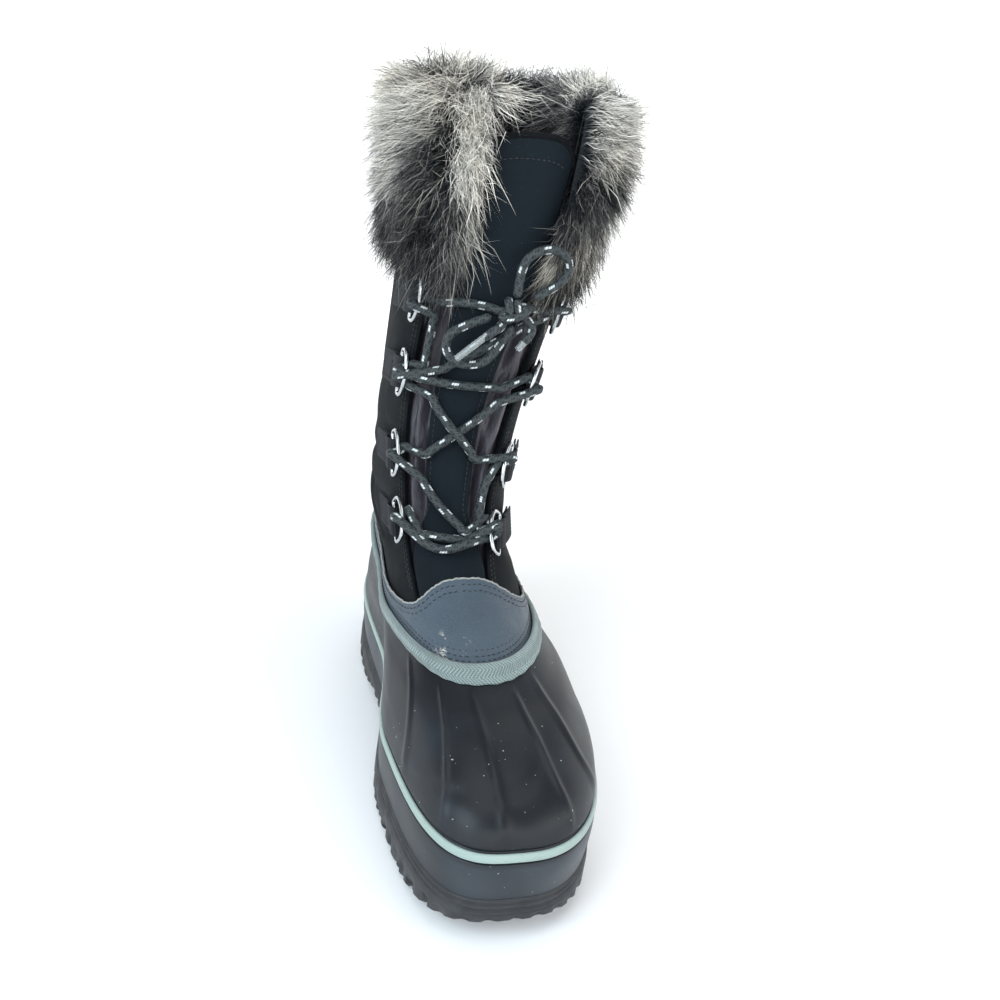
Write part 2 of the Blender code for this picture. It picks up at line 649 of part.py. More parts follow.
def make_tongue(material):
    """The wide tongue, sewn in at the throat's base and rising above the collar."""
    rows = rows_between(THROAT_BASE + 0.04, COLLAR) + [TONGUE_TOP]
    columns = 11

    def place(i, j, lift):
        share = -1.0 + 2.0 * j / (columns - 1)
        u = rows[i]
        phi = math.copysign(angle_for_arc(u, tongue_half(u, share) * abs(share)), share)
        if i == len(rows) - 1:
            u -= 0.28 * abs(share) ** 3
        return on_form(u, phi, lift)

    return thick_patch("tongue", len(rows), columns,
                       lambda i, j: place(i, j, UPPER_OUT),
                       lambda i, j: place(i, j, UPPER_OUT - TONGUE_THICK), material)


def make_gusset(name, side, material):
    """Folded fabric that joins the tongue's edge to the throat's edge on one side."""
    rows = rows_between(GUSSET_LOW, GUSSET_HIGH)
    deep = UPPER_IN - CURVED_GAP - TUCK
    shallow = UPPER_OUT - PLEAT_TOP
    lifts = (deep, deep, shallow, deep - PLEAT_DEPTH, shallow - PLEAT_TOP, deep, deep)

    def place(i, j, thick):
        u = rows[i]
        near, far = tongue_half(u, side), throat_half(u, side)
        clear = min(PLEAT_EDGE, (far - near) * 0.3)
        stops = (near - GUSSET_TUCK, near - GAP, near + clear, (near + far) / 2.0, far - clear,
                 far + GAP, far + GUSSET_TUCK)
        phi = side * angle_for_arc(u, stops[j])
        return on_form(u, phi, lifts[j] - thick)

    return thick_patch(name, len(rows), len(lifts), lambda i, j: place(i, j, 0.0),
                       lambda i, j: place(i, j, GUSSET_THICK), material)


def fur_end_angle(side):
    """Where the cuff's front end on one side stops, beside the tongue."""
    return angle_for_arc(16.6, tongue_half(COLLAR, side) + FUR_END_GAP)


def fur_bottom(phi):
    """Section number of the cuff's lower edge: lowest in front, where it clears the top rings."""
    turn = abs(math.atan2(math.sin(phi), math.cos(phi)))
    droop = 1.0 - float(smoothstep(0.5, 1.5, turn))
    top_ring = RING_ROWS[-1]
    clear = (RING_LENGTH + RING_WIRE) / 2.0 + FUR_CLEARANCE
    full = COLLAR - top_ring - clear / section_height(top_ring)
    return COLLAR - full * (FUR_BACK_SHARE + (1.0 - FUR_BACK_SHARE) * droop)


def fur_swell(phi):
    """The cuff is thinner at its two front ends, and a little uneven all the way round."""
    from_end = min(phi - fur_end_angle(1), 2.0 * math.pi - fur_end_angle(-1) - phi)
    swell = 0.55 + 0.45 * float(smoothstep(0.0, 0.42, from_end))
    return swell * (1.0 + 0.08 * math.sin(17.0 * phi) + 0.05 * math.sin(7.0 * phi))


def make_fur(material):
    """The fur cuff: an upside-down U over the collar's edge, open in front, with locks on it."""
    start = fur_end_angle(1)
    turn = 2.0 * math.pi - fur_end_angle(-1) - start
    count = 30
    angles = [start + turn * n / count for n in range(count + 1)]
    clear = CURVED_GAP + GAP
    rise = FUR_RISE / ((COLLAR_HEIGHT - SHELL_FRONT) * 0.13)

    def profile(phi):
        swell = fur_swell(phi)
        out, inner, low = FUR_OUT * swell, FUR_IN * swell, fur_bottom(phi)
        span = COLLAR - low
        return [(low, UPPER_OUT + clear), (low + 0.05 * span, UPPER_OUT + out * 0.35),
                (low + 0.30 * span, UPPER_OUT + out * 0.90), (low + 0.65 * span, UPPER_OUT + out),
                (low + 0.95 * span, UPPER_OUT + out * 0.98),
                (COLLAR + 0.62 * rise, UPPER_OUT + out * 0.80),
                (COLLAR + rise, UPPER_OUT + out * 0.20), (COLLAR + 0.8 * rise, UPPER_IN - inner * 0.6),
                (COLLAR + 0.1 * rise, UPPER_IN - inner), (COLLAR - 0.9, UPPER_IN - inner * 0.7),
                (COLLAR - 1.3, UPPER_IN - clear), (COLLAR + 0.06, UPPER_IN - clear),
                (COLLAR + 0.06, UPPER_OUT + clear)]

    fur = sweep("fur_cuff", angles, profile, material, closed=False)
    apply_boolean(fur, fur_locks(start, turn), "UNION")
    fur.data.materials.clear()
    fur.data.materials.append(material)
    return fur


def fur_locks(start, turn):
    """Pointed locks in staggered rows, hanging down and out from the cuff."""
    locks = []
    for row, (share, count) in enumerate(((0.14, 14), (0.46, 12), (0.80, 12), (1.15, 10))):
        for n in range(count):
            share_round = (n + 0.5 * (row % 2)) / (count - 1 + row % 2)
            phi = start + turn * (0.05 + 0.90 * share_round)
            low = fur_bottom(phi)
            u = min(low + share * (COLLAR - low), COLLAR + 0.6)
            normal = form_normal(u, phi)
            down = (form_point(u - 0.3, phi) - form_point(u, phi)).normalized()
            root = on_form(u, phi, UPPER_OUT + FUR_OUT * fur_swell(phi) * 0.60)
            sway = form_point(u, phi + 0.1) - form_point(u, phi)
            lean = sway.normalized() * 0.25 * math.sin(2.3 * n + row)
            tip = root + (normal * 0.46 + down * 0.86 + lean) * LOCK_LENGTH
            side = normal.cross(down)
            along = (tip - root).normalized()
            across = side.cross(along)
            radius = LOCK_RADIUS * (1.0 + 0.2 * math.sin(5 * n))
            base = [root + (side * math.cos(a) + across * math.sin(a)) * radius
                    for a in (0.5, 2.6, 4.7)]
            faces = [(0, 1, 2), (0, 3, 1), (1, 3, 2), (2, 3, 0)]
            locks.append(new_object(f"lock_{row}_{n}", base + [tip], faces, None, smooth=False))
    return locks


def ring_edge(u, side):
    """Distance round the surface to the lace rings' straight bars."""
    return throat_half(u, side) + RING_SETBACK


def webbing_point(u, side, back, lift):
    """A point behind the ring's bar by back, measured round the shaft, above the fabric."""
    phi = side * angle_for_arc(u, ring_edge(u, side) + back)
    return on_form(u, phi, UPPER_OUT + lift)


def section_height(u):
    """Height of one section of the shaft's front, in metres."""
    return (form_point(u + 0.1, 0.0) - form_point(u - 0.1, 0.0)).length / 0.2


def ring_place(row, side):
    """A ring's middle, its directions up the shaft and out of it, and towards the throat."""
    half = WEBBING_WIDTH / 2.0 / section_height(row)
    low = webbing_point(row - half, side, 0.0, RING_LIFT)
    high = webbing_point(row + half, side, 0.0, RING_LIFT)
    up = (high - low).normalized()
    centre = (low + high) / 2.0
    forward = webbing_point(row, side, -0.003, RING_LIFT) - centre
    forward = (forward - up * forward.dot(up)).normalized()
    out = forward.cross(up) * (-1.0 if side > 0 else 1.0)
    return centre, up, out.normalized(), forward


def make_ring(name, row, side, material):
    """A D-shaped wire ring: its straight bar lies in the webbing, its bow points to the throat."""
    centre, up, out, forward = ring_place(row, side)
    half = RING_LENGTH / 2.0
    tilt = (forward + out * RING_TILT).normalized()
    straight = RING_REACH * 0.35
    path = [centre - up * half, centre + up * half]
    bends = 6
    for n in range(bends + 1):
        turn = math.pi * n / bends
        reach = straight + (RING_REACH - straight) * math.sin(turn)
        path.append(centre + up * half * math.cos(turn) + tilt * reach)
    normal = up.cross(tilt).normalized()
    sides = 5
    vertices, faces = [], []
    for n, point in enumerate(path):
        ahead = (path[(n + 1) % len(path)] - path[n - 1]).normalized()
        across = ahead.cross(normal).normalized()
        for k in range(sides):
            turn = 2.0 * math.pi * k / sides
            vertices.append(point + (normal * math.cos(turn) + across * math.sin(turn)) * RING_WIRE / 2)
    for n in range(len(path)):
        there = (n + 1) % len(path)
        for k in range(sides):
            nxt = (k + 1) % sides
            faces.append((n * sides + k, n * sides + nxt, there * sides + nxt, there * sides + k))
    return new_object(name, vertices, faces, material)


def make_webbing(name, row, side, material):
    """A webbing loop sewn flat to the shaft and folded round the ring's straight bar."""
    bore = RING_WIRE / 2.0 + RING_CLEARANCE
    rim = bore + WEBBING_THICK
    floor = RING_LIFT - rim
    mid, top = floor + WEBBING_THICK, floor + 2.0 * WEBBING_THICK + GAP
    seam, tail = WEBBING_SEAM, WEBBING_REACH
    outer = [(tail, floor), (seam, floor), (0.0, floor), (-rim * 0.72, RING_LIFT - rim * 0.72),
             (-rim, RING_LIFT), (-rim * 0.72, RING_LIFT + rim * 0.72), (0.0, RING_LIFT + rim),
             (rim * 0.9, RING_LIFT + rim * 0.9), (seam, top), (tail, top)]
    bore_points = [(seam * 0.67, mid), (0.0, RING_LIFT - bore), (-bore * 0.75, RING_LIFT - bore * 0.75),
                   (-bore, RING_LIFT), (-bore * 0.75, RING_LIFT + bore * 0.75), (0.0, RING_LIFT + bore),
                   (bore * 0.8, RING_LIFT + bore * 0.8)]
    half = WEBBING_WIDTH / 2.0 / section_height(row)
    vertices, faces = [], []
    for u in (row - half, row + half):
        vertices += [webbing_point(u, side, back, lift) for back, lift in outer + bore_points]
    size, hole = len(outer), len(bore_points)
    whole = size + hole
    for k in range(size):
        nxt = (k + 1) % size
        faces.append((k, nxt, whole + nxt, whole + k))
    for k in range(hole):
        nxt = (k + 1) % hole
        faces.append((size + k, whole + size + k, whole + size + nxt, size + nxt))
    for base in (0, whole):
        bridges = ((0, 1, size), (1, 2, size + 1, size), (2, 3, size + 2, size + 1),
                   (3, 4, size + 3, size + 2), (4, 5, size + 4, size + 3), (5, 6, size + 5, size + 4),
                   (6, 7, size + 6, size + 5), (7, 8, size, size + 6), (8, 9, 0, size))
        faces += [tuple(base + k for k in face) for face in bridges]
    return new_object(name, vertices, faces, material)


def lace_turn(side, number):
    """The point just clear of a ring's bow where the lace turns. Number 0 is the knot's side."""
    if number == 0:
        aside = KNOT_SIZE[0] / 2.0 + GAP
        return lace_point(KNOT_PLACE[0] + 0.06, KNOT_PLACE[1] + side * aside, KNOT_PLACE[2])
    centre, up, out, forward = ring_place(RING_ROWS[number - 1], side)
    tilt = (forward + out * RING_TILT).normalized()
    return centre + tilt * (RING_REACH + RING_WIRE / 2.0 + LACE_DIAMETER / 2.0 + LACE_CLEARANCE)


def lace_anchor(side, number):
    """The same turn as a section number and a distance round from the front."""
    if number == 0:
        return KNOT_PLACE[0], KNOT_PLACE[1] + side * KNOT_SIZE[0] / 2.0
    row = RING_ROWS[number - 1]
    reach = RING_REACH + RING_WIRE / 2.0 + LACE_DIAMETER / 2.0 + LACE_CLEARANCE
    return row, side * (throat_half(row, side) + RING_SETBACK - reach)


def lace_point(u, arc, lift):
    """A point of the lace: distance round from the front (outer side positive) and lift."""
    phi = math.copysign(angle_for_arc(u, abs(arc)), arc)
    return on_form(u, phi, UPPER_OUT + lift)


def lace_run(start, end, bow):
    """A route over the tongue between two rings, close to the tongue in the middle."""
    steps = 5
    low = LACE_DIAMETER / 2.0
    ends = (lace_anchor(*start), lace_anchor(*end))
    route = []
    for n in range(steps + 1):
        share = n / steps
        u = ends[0][0] + (ends[1][0] - ends[0][0]) * share + bow * math.sin(math.pi * share)
        arc = ends[0][1] + (ends[1][1] - ends[0][1]) * share
        lift = low + (RING_LIFT - low) * abs(2.0 * share - 1.0) ** 1.6
        route.append(lace_point(u, arc, lift))
    shifts = (lace_turn(*start) - route[0], lace_turn(*end) - route[-1])
    for n in range(steps + 1):
        share = n / steps
        route[n] += shifts[0] * (1.0 - share) ** 2.5 + shifts[1] * share ** 2.5
    return route


def make_lacing(material):
    """All of the lace between the rings, one solid joined where strands cross and turn."""
    runs = []
    for n, (start, end, bow) in enumerate(LACE_RUNS):
        runs.append(tube(f"run_{n}", lace_run(start, end, bow), LACE_DIAMETER, material, 6))
    lacing = runs[0]
    apply_boolean(lacing, runs[1:], "UNION")
    lacing.name = "lace_crossings"
    lacing.data.materials.clear()
    lacing.data.materials.append(material)
    return lacing


def make_cord(name, table, count, diameter, material):
    """A lace loop or end: a round cord through its own short list of points."""
    route = smooth_route([lace_point(*row) for row in table], count)
    curve = bpy.data.curves.new(name, "CURVE")
    curve.dimensions = "3D"
    curve.bevel_depth = diameter / 2.0
    curve.bevel_resolution = 2
    curve.use_fill_caps = True
    spline = curve.splines.new("POLY")
    spline.points.add(len(route) - 1)
    for point, place in zip(spline.points, route):
        point.co = (*place, 1.0)
    curve.materials.append(material)
    obj = bpy.data.objects.new(name, curve)
    bpy.context.scene.collection.objects.link(obj)
    return obj


def make_knot(material):
    """The bow's knot: a rounded lump above the tongue."""
    centre = lace_point(*KNOT_PLACE)
    up = (lace_point(KNOT_PLACE[0] + 0.1, *KNOT_PLACE[1:]) - centre).normalized()
    out = form_normal(KNOT_PLACE[0], 0.0)
    across = up.cross(out).normalized()
    work = bmesh.new()
    bmesh.ops.create_icosphere(work, subdivisions=2, radius=1.0)
    for vertex in work.verts:
        x, y, z = vertex.co
        vertex.co = (centre + across * x * KNOT_SIZE[0] / 2 + up * y * KNOT_SIZE[1] / 2
                     + out * z * KNOT_SIZE[2] / 2)
    mesh = bpy.data.meshes.new("lace_knot")
    work.to_mesh(mesh)
    work.free()
    mesh.materials.append(material)
    mesh.shade_smooth()
    obj = bpy.data.objects.new("lace_knot", mesh)
    bpy.context.scene.collection.objects.link(obj)
    return obj


def make_bow(cord, clear):
    """The knot, its two loops and two ends, each end with an aglet."""
    make_knot(cord)
    make_cord("lace_loop_up", BOW_UP, 16, LACE_DIAMETER, cord)
    make_cord("lace_loop_down", BOW_DOWN, 18, LACE_DIAMETER, cord)
    make_cord("lace_end_short", END_SHORT, 5, LACE_DIAMETER, cord)
    make_cord("lace_end_long", END_LONG, 3, LACE_DIAMETER, cord)
    make_cord("aglet_short", AGLET_SHORT, 3, AGLET_DIAMETER, clear)
    make_cord("aglet_long", AGLET_LONG, 4, AGLET_DIAMETER, clear)


def main():
    for obj in list(bpy.data.objects):
        bpy.data.objects.remove(obj)
    rubber = make_material("black_rubber", (0.030, 0.035, 0.042), 0.38)
    sole_rubber = make_material("sole_rubber", (0.025, 0.025, 0.028), 0.65)
    stripe = make_material("pale_stripe", (0.50, 0.56, 0.52), 0.50)
    leather = make_material("smooth_leather", (0.050, 0.060, 0.075), 0.45)
    fabric = make_material("shaft_fabric", (0.022, 0.026, 0.032), 0.80)
    lining = make_material("gusset_satin", (0.055, 0.050, 0.062), 0.40)
    fur = make_material("cuff_fur", (0.22, 0.22, 0.22), 0.90)
    steel = make_material("ring_steel", (0.70, 0.72, 0.74), 0.20, 1.0)
    webbing = make_material("loop_webbing", (0.020, 0.022, 0.028), 0.70)
    cord = make_material("lace_cord", (0.060, 0.068, 0.072), 0.75)
    aglet = make_material("clear_aglet", (0.70, 0.72, 0.72), 0.25)
    felt = make_material("insole_felt", (0.12, 0.12, 0.13), 0.95)

    make_outsole(sole_rubber)
    make_insole(felt)
    make_shell(rubber)
    make_stripe(stripe)
    make_band(stripe)
    make_overlay(leather)
    make_upper(fabric)
    make_tongue(fabric)
    make_gusset("gusset_outer", 1, lining)
    make_gusset("gusset_inner", -1, lining)
    make_fur(fur)
    for side, word in ((1, "outer"), (-1, "inner")):
        for n, row in enumerate(RING_ROWS):
            make_ring(f"ring_{word}_{n + 1}", row, side, steel)
            make_webbing(f"webbing_{word}_{n + 1}", row, side, webbing)
    make_lacing(cord)
    make_bow(cord, aglet)


main()
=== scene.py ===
"""The looks of a women's winter boot, left foot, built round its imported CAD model: moulded
rubber shell, leather mudguard, laced fabric shaft and fur cuff. Metres, +Z up, toes towards
-Y, +X on the outer side of the foot."""

import math

import bmesh
import bpy
import numpy as np
from mathutils import Matrix, Vector

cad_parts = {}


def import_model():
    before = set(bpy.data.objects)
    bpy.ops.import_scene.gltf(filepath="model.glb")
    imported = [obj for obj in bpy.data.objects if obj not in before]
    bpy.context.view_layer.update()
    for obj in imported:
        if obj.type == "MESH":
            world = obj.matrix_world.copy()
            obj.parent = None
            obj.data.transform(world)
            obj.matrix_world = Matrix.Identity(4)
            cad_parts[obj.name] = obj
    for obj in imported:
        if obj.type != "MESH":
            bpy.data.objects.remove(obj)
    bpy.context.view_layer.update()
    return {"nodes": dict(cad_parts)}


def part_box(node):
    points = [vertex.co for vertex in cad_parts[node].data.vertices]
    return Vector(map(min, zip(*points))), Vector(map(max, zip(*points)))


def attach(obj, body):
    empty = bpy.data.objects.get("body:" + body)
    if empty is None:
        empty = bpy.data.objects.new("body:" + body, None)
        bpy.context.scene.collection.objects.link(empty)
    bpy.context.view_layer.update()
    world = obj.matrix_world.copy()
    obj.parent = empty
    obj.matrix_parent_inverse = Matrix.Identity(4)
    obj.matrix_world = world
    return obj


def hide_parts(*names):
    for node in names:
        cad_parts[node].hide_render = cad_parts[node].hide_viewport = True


# The same driving sizes as the CAD model
SOLE_LENGTH = 0.288
HEEL_OVERHANG = 0.038
BALL_WIDTH = 0.0995
HEEL_WIDTH = 0.079
SHAFT_WIDTH = 0.096
SHAFT_DEPTH = 0.124
SHELL_BASE = 0.022
SHELL_FRONT = 0.079
SHELL_BACK = 0.086
COLLAR_HEIGHT = 0.298
TOE_INSET = 0.010
SHAFT_LEAN = 0.016
BASE_DIP = 0.004
GAP = 0.0003
CURVED_GAP = 0.0008
SHELL_WALL = 0.003
UPPER_WALL = 0.0026
FLANGE = 0.0006
GROOVE_HEIGHT = 0.0016
TREAD_DEPTH = 0.0045
TREAD_SLOT = 0.005
TREAD_PITCH = 0.0135
HEEL_PITCH = 0.0149
TREAD_ROWS = 10
CHEVRON_RISE = 0.008
ARCH_RISE = 0.0055
TOE_SPRING = 0.011
HEEL_LIFT = 0.003
LEATHER_THICK = 0.0012
TONGUE_THICK = 0.0022
TONGUE_TWIST = 0.009
TONGUE_GAP = 0.001
THROAT_BASE_OUTER = 0.019
THROAT_BASE_INNER = 0.038
THROAT_TOP_OUTER = 0.038
THROAT_TOP_INNER = 0.047
TONGUE_MARGIN_OUTER = 0.014
TONGUE_MARGIN_INNER = 0.018
FUR_RISE = 0.038
FUR_CLEARANCE = 0.001
FUR_END_GAP = 0.003
RING_WIRE = 0.0022
RING_LENGTH = 0.023
RING_REACH = 0.009
RING_SETBACK = 0.0045
RING_LIFT = 0.0042
RING_TILT = 0.35
WEBBING_WIDTH = 0.0165
WEBBING_REACH = 0.022
WEBBING_THICK = 0.0012
LACE_DIAMETER = 0.0045
KNOT_SIZE = (0.016, 0.012, 0.009)
AGLET_DIAMETER = 0.0036

# Each row is one slanted ring of the outer form, from the feather line up to the fur's tip
COLUMNS = ("toe", "depth_f", "heel", "depth_b", "low_f", "high_f", "low_b", "high_b",
           "ball", "waist_o", "waist_i", "heel_w", "shaft", "power", "dip", "lean")
SECTIONS = np.array([
    # toe  dep_f  heel  dep_b  lowf  higf  lowb  higb  ball  wo    wi    hw    shaft power dip   lean
    (1.00, 0.00, 1.00, 0.00, 0.00, 0.00, 0.00, 0.00, 0.500, 0.385, 0.355, 0.495, 0.00, 2.90, 1.00, 0.00),
    (1.006, 0.00, 1.06, 0.00, 0.20, 0.00, 0.15, 0.00, 0.508, 0.393, 0.362, 0.510, 0.00, 2.90, 0.95, 0.00),
    (1.003, 0.00, 1.07, 0.00, 0.32, 0.00, 0.24, 0.00, 0.508, 0.395, 0.364, 0.512, 0.00, 2.90, 0.90, 0.00),
    (0.997, 0.00, 1.07, 0.00, 0.41, 0.00, 0.31, 0.00, 0.506, 0.395, 0.364, 0.512, 0.00, 2.85, 0.85, 0.00),
    (0.974, 0.00, 1.06, 0.00, 0.58, 0.00, 0.43, 0.00, 0.498, 0.390, 0.364, 0.508, 0.00, 2.75, 0.70, 0.00),
    (0.924, 0.00, 1.045, 0.00, 0.71, 0.00, 0.54, 0.00, 0.476, 0.386, 0.364, 0.500, 0.00, 2.60, 0.50, -0.05),
    (0.846, 0.00, 1.03, 0.00, 0.82, 0.00, 0.68, 0.00, 0.450, 0.370, 0.350, 0.480, 0.00, 2.50, 0.20, -0.08),
    (0.752, 0.00, 1.01, 0.00, 0.89, 0.00, 0.84, 0.00, 0.424, 0.358, 0.343, 0.462, 0.00, 2.42, 0.90, -0.12),
    (0.660, 0.00, 0.99, 0.00, 1.00, 0.00, 1.00, 0.00, 0.402, 0.350, 0.340, 0.446, 0.00, 2.35, 1.50, -0.18),
    (0.582, 0.00, 0.97, 0.00, 1.00, 0.05, 1.00, 0.048, 0.386, 0.352, 0.346, 0.446, 0.00, 2.30, 1.00, -0.26),
    (0.484, 0.02, 0.965, 0.00, 1.00, 0.115, 1.00, 0.105, 0.340, 0.340, 0.338, 0.430, 0.04, 2.25, 0.50, -0.38),
    (0.352, 0.12, 0.90, 0.01, 1.00, 0.195, 1.00, 0.175, 0.245, 0.255, 0.252, 0.320, 0.13, 2.22, 0.00, -0.38),
    (0.215, 0.27, 0.62, 0.09, 1.00, 0.290, 1.00, 0.255, 0.135, 0.140, 0.140, 0.175, 0.255, 2.20, 0.00, -0.28),
    (0.090, 0.44, 0.27, 0.21, 1.00, 0.405, 1.00, 0.365, 0.050, 0.052, 0.052, 0.065, 0.365, 2.20, 0.00, -0.08),
    (0.00, 0.585, 0.00, 0.325, 1.00, 0.545, 1.00, 0.505, 0.00, 0.00, 0.00, 0.00, 0.450, 2.16, 0.00, 0.22),
    (0.00, 0.590, 0.00, 0.375, 1.00, 0.695, 1.00, 0.655, 0.00, 0.00, 0.00, 0.00, 0.480, 2.15, 0.00, 0.52),
    (0.00, 0.585, 0.00, 0.415, 1.00, 0.850, 1.00, 0.820, 0.00, 0.00, 0.00, 0.00, 0.495, 2.15, 0.00, 0.78),
    (0.00, 0.570, 0.00, 0.440, 1.00, 1.000, 1.00, 0.985, 0.00, 0.00, 0.00, 0.00, 0.500, 2.15, 0.00, 1.00),
    (0.00, 0.555, 0.00, 0.455, 1.00, 1.130, 1.00, 1.120, 0.00, 0.00, 0.00, 0.00, 0.502, 2.15, 0.00, 1.15),
])
LAST_SECTION = len(SECTIONS) - 1
STRIPE_LOW, STRIPE_HIGH, STRIPE_EDGE = 2.0, 3.0, 0.11
TOPLINE = 8.0
BAND_LOW, BAND_HIGH, BAND_LAP = 7.62, 8.16, 0.04
THROAT_BASE = 10.1
COLLAR = 17.0
TONGUE_TOP = 17.35
RING_ROWS = (10.75, 12.15, 13.65, 14.85)
ARCH_FRONT = (0.473, 0.385)
ARCH_BACK = (0.249, 0.168)
LEATHER_EDGE = 8.62
CROWN_RISE, CROWN_TURN, CROWN_WIDTH, CROWN_POWER = 1.46, 3.0, 45.0, 2.4
FLANK_RISE, FLANK_START, FLANK_END = 0.22, 72.0, 95.0
FUR_BACK_SHARE = 0.727
# Each toe rib, as its angle at the topline and its angle at the stripe, in degrees
RIBS = ((-50.0, -60.0), (-26.0, -31.0), (-6.0, -2.0), (15.0, 22.0), (31.0, 46.0))
FAN_TOP, FAN_LOW = 7.6, 3.0
FACET_ROWS = (0.0, 1.0, 1.94, 2.06, 2.94, 3.06, 3.5, 4.0, 4.5, 5.0, 5.6, 6.3, 7.0, 7.5, 8.0,
              8.6, 9.2, 9.7, 10.1, 10.5, 10.95, 11.6, 12.4, 13.2, 14.1, 15.0, 16.0, 17.0, 18.0)

# Routes of the bow's free cords, the CAD model's own: section number, distance round, lift
KNOT_PLACE = (14.92, 0.002, 0.0085)
BOW_UP = ((15.10, 0.0026, 0.0092), (15.51, 0.0015, 0.0105), (15.72, 0.0035, 0.0125),
          (15.83, 0.0100, 0.0135), (15.77, 0.0173, 0.0140), (15.59, 0.0212, 0.0140),
          (15.38, 0.0197, 0.0130), (15.11, 0.0102, 0.0100))
BOW_DOWN = ((14.80, -0.0064, 0.0097), (14.58, -0.0174, 0.0112), (14.39, -0.0213, 0.0115),
            (14.17, -0.0198, 0.0112), (14.04, -0.0136, 0.0110), (14.08, -0.0062, 0.0112),
            (14.26, -0.0018, 0.0115), (14.69, 0.0042, 0.0097))
END_SHORT = ((14.82, 0.0090, 0.0090), (14.66, 0.0125, 0.0115), (14.50, 0.0105, 0.0125))
AGLET_SHORT = ((14.483, 0.0103, 0.0125), (14.33, 0.0078, 0.0125))
END_LONG = ((14.735, -0.0008, 0.0105), (14.66, -0.003, 0.0145), (14.60, -0.0055, 0.0165))
AGLET_LONG = ((14.578, -0.0064, 0.0168), (14.12, -0.0155, 0.0165))

TOE_REACH = SOLE_LENGTH - HEEL_OVERHANG - FLANGE
HEEL_REACH = HEEL_OVERHANG - FLANGE
UPPER_OUT = -(SHELL_WALL + GAP)
UPPER_IN = UPPER_OUT - UPPER_WALL
OUTER, INNER = 1, -1
TAU = 2.0 * math.pi

# Points round the boot in each mesh
SOLE_TURNS = 384
SHELL_TURNS = 340
STRIPE_TURNS = 400
BAND_TURNS = 480
SEAM_TURNS = 1200
# An edge sharper than this, in degrees, is shaded as an edge
SHEET_EDGE, TRIM_EDGE, SOLE_EDGE = 50.0, 60.0, 35.0

# Relief of the shell and its trims
RIB_HEIGHT, RIB_WIDTH = 0.0009, 1.6
CREASE_DEPTH, CREASE_LIP = 0.0005, 0.0001
FLEX_DEPTH = 0.0003
STRIPE_RECESS, STRIPE_GROOVE = 0.0009, 0.0006
BEAD_SINK, BEAD_HEIGHT = 0.0006, 0.0012
BAND_THICK = 0.0013
HERRINGBONE_FOLD, HERRINGBONE_PITCH = 0.0030, 0.0017
LUG_PITCH = 0.0105
# The grooved part of the outsole's side, counted in groove heights, and its two grooves
GROOVED_SIDE, GROOVES, GROOVE_WIDTH, GROOVE_DEPTH = 4.6, (1.5, 3.5), 0.0009, 0.0014
# Leather: the raw rim, and how far the rows of stitches lie from its edges, in sections
RIM_RADIUS, RIM_LIFT = 0.00052, 0.00075
SEAMS_BELOW_TOP = (0.13, 0.26)
# Gusset's cloth and pleats
CLOTH_THICK = 0.0006
PLEAT_HEIGHT, SMALL_PLEAT = 0.0052, 0.0011
# Lace: spacing of the points along it, its braid and its flecks, and how it goes over itself
LACE_STEP = 0.0011
BRAID_PITCH, FLECK_PITCH = 0.0060, 0.016
HUMP_SHARE, HUMP_REACH, CROSSING_REACH = 0.92, 0.0075, 0.0035
SECTION_METRES = 0.030
LACE_SIDES = 14

# The crease across the toe: angle from the toe, section number
TOE_CREASE = ((-58.0, 3.48), (-37.0, 4.32), (-19.0, 4.72), (-3.0, 4.85), (6.0, 5.08),
              (14.0, 5.44), (24.0, 5.9))
# Soft creases of the shaft: section and angle of the middle, reach in degrees, depth, width, slope
SHAFT_CREASES = (
    (9.75, 74.0, 34.0, 0.0017, 0.16, 0.75),
    (10.35, 98.0, 40.0, 0.0020, 0.20, 0.45),
    (11.25, 120.0, 46.0, 0.0016, 0.22, 0.30),
    (9.85, -80.0, 34.0, 0.0018, 0.17, 0.70),
    (10.55, -104.0, 40.0, 0.0020, 0.20, 0.45),
    (11.45, -126.0, 44.0, 0.0015, 0.22, 0.30),
    (10.9, 176.0, 42.0, 0.0018, 0.16, 0.05),
    (12.0, 168.0, 50.0, 0.0016, 0.20, 0.10),
    (13.1, -150.0, 55.0, 0.0012, 0.22, 0.25),
    (12.9, 112.0, 40.0, 0.0012, 0.22, -0.35),
    (13.9, 150.0, 50.0, 0.0010, 0.24, 0.30),
    (12.6, -84.0, 30.0, 0.0012, 0.20, -0.40),
)
# Dark patches of the fur, pale where the depth is negative: angle, place up the cuff, widths in
# both, depth
FUR_PATCHES = (
    (-52.0, 0.43, 13.0, 0.12, 1.10),
    (-58.0, 0.24, 17.0, 0.10, 0.85),
    (-50.0, 0.05, 44.0, 0.14, 0.95),
    (-92.0, 0.32, 11.0, 0.10, 0.60),
    (-80.0, 0.58, 7.0, 0.05, 0.45),
    (58.0, 0.08, 36.0, 0.14, 0.90),
    (40.0, 0.46, 26.0, 0.08, 0.95),
    (96.0, 0.36, 14.0, 0.12, 0.65),
    (64.0, 0.30, 12.0, 0.07, -0.35),
    (108.0, 0.52, 9.0, 0.07, 0.50),
    (150.0, 0.70, 26.0, 0.04, 0.60),
    (112.0, 0.72, 7.0, 0.08, -0.55),
    (-166.0, 0.72, 8.0, 0.08, -0.55),
    (165.0, 0.26, 24.0, 0.12, 0.70),
    (-122.0, 0.38, 14.0, 0.10, 0.60),
    (-155.0, 0.50, 10.0, 0.08, 0.50),
)
HAIR_LENGTH = 0.0220
HAIR_WIDTH = 0.00035
CLUMP_SPREAD = 0.0034
# This share of the hairs is dark to its tips
DARK_SHARE, DARK_TIP = 0.16, 0.05
CUFF_STEP = 0.01
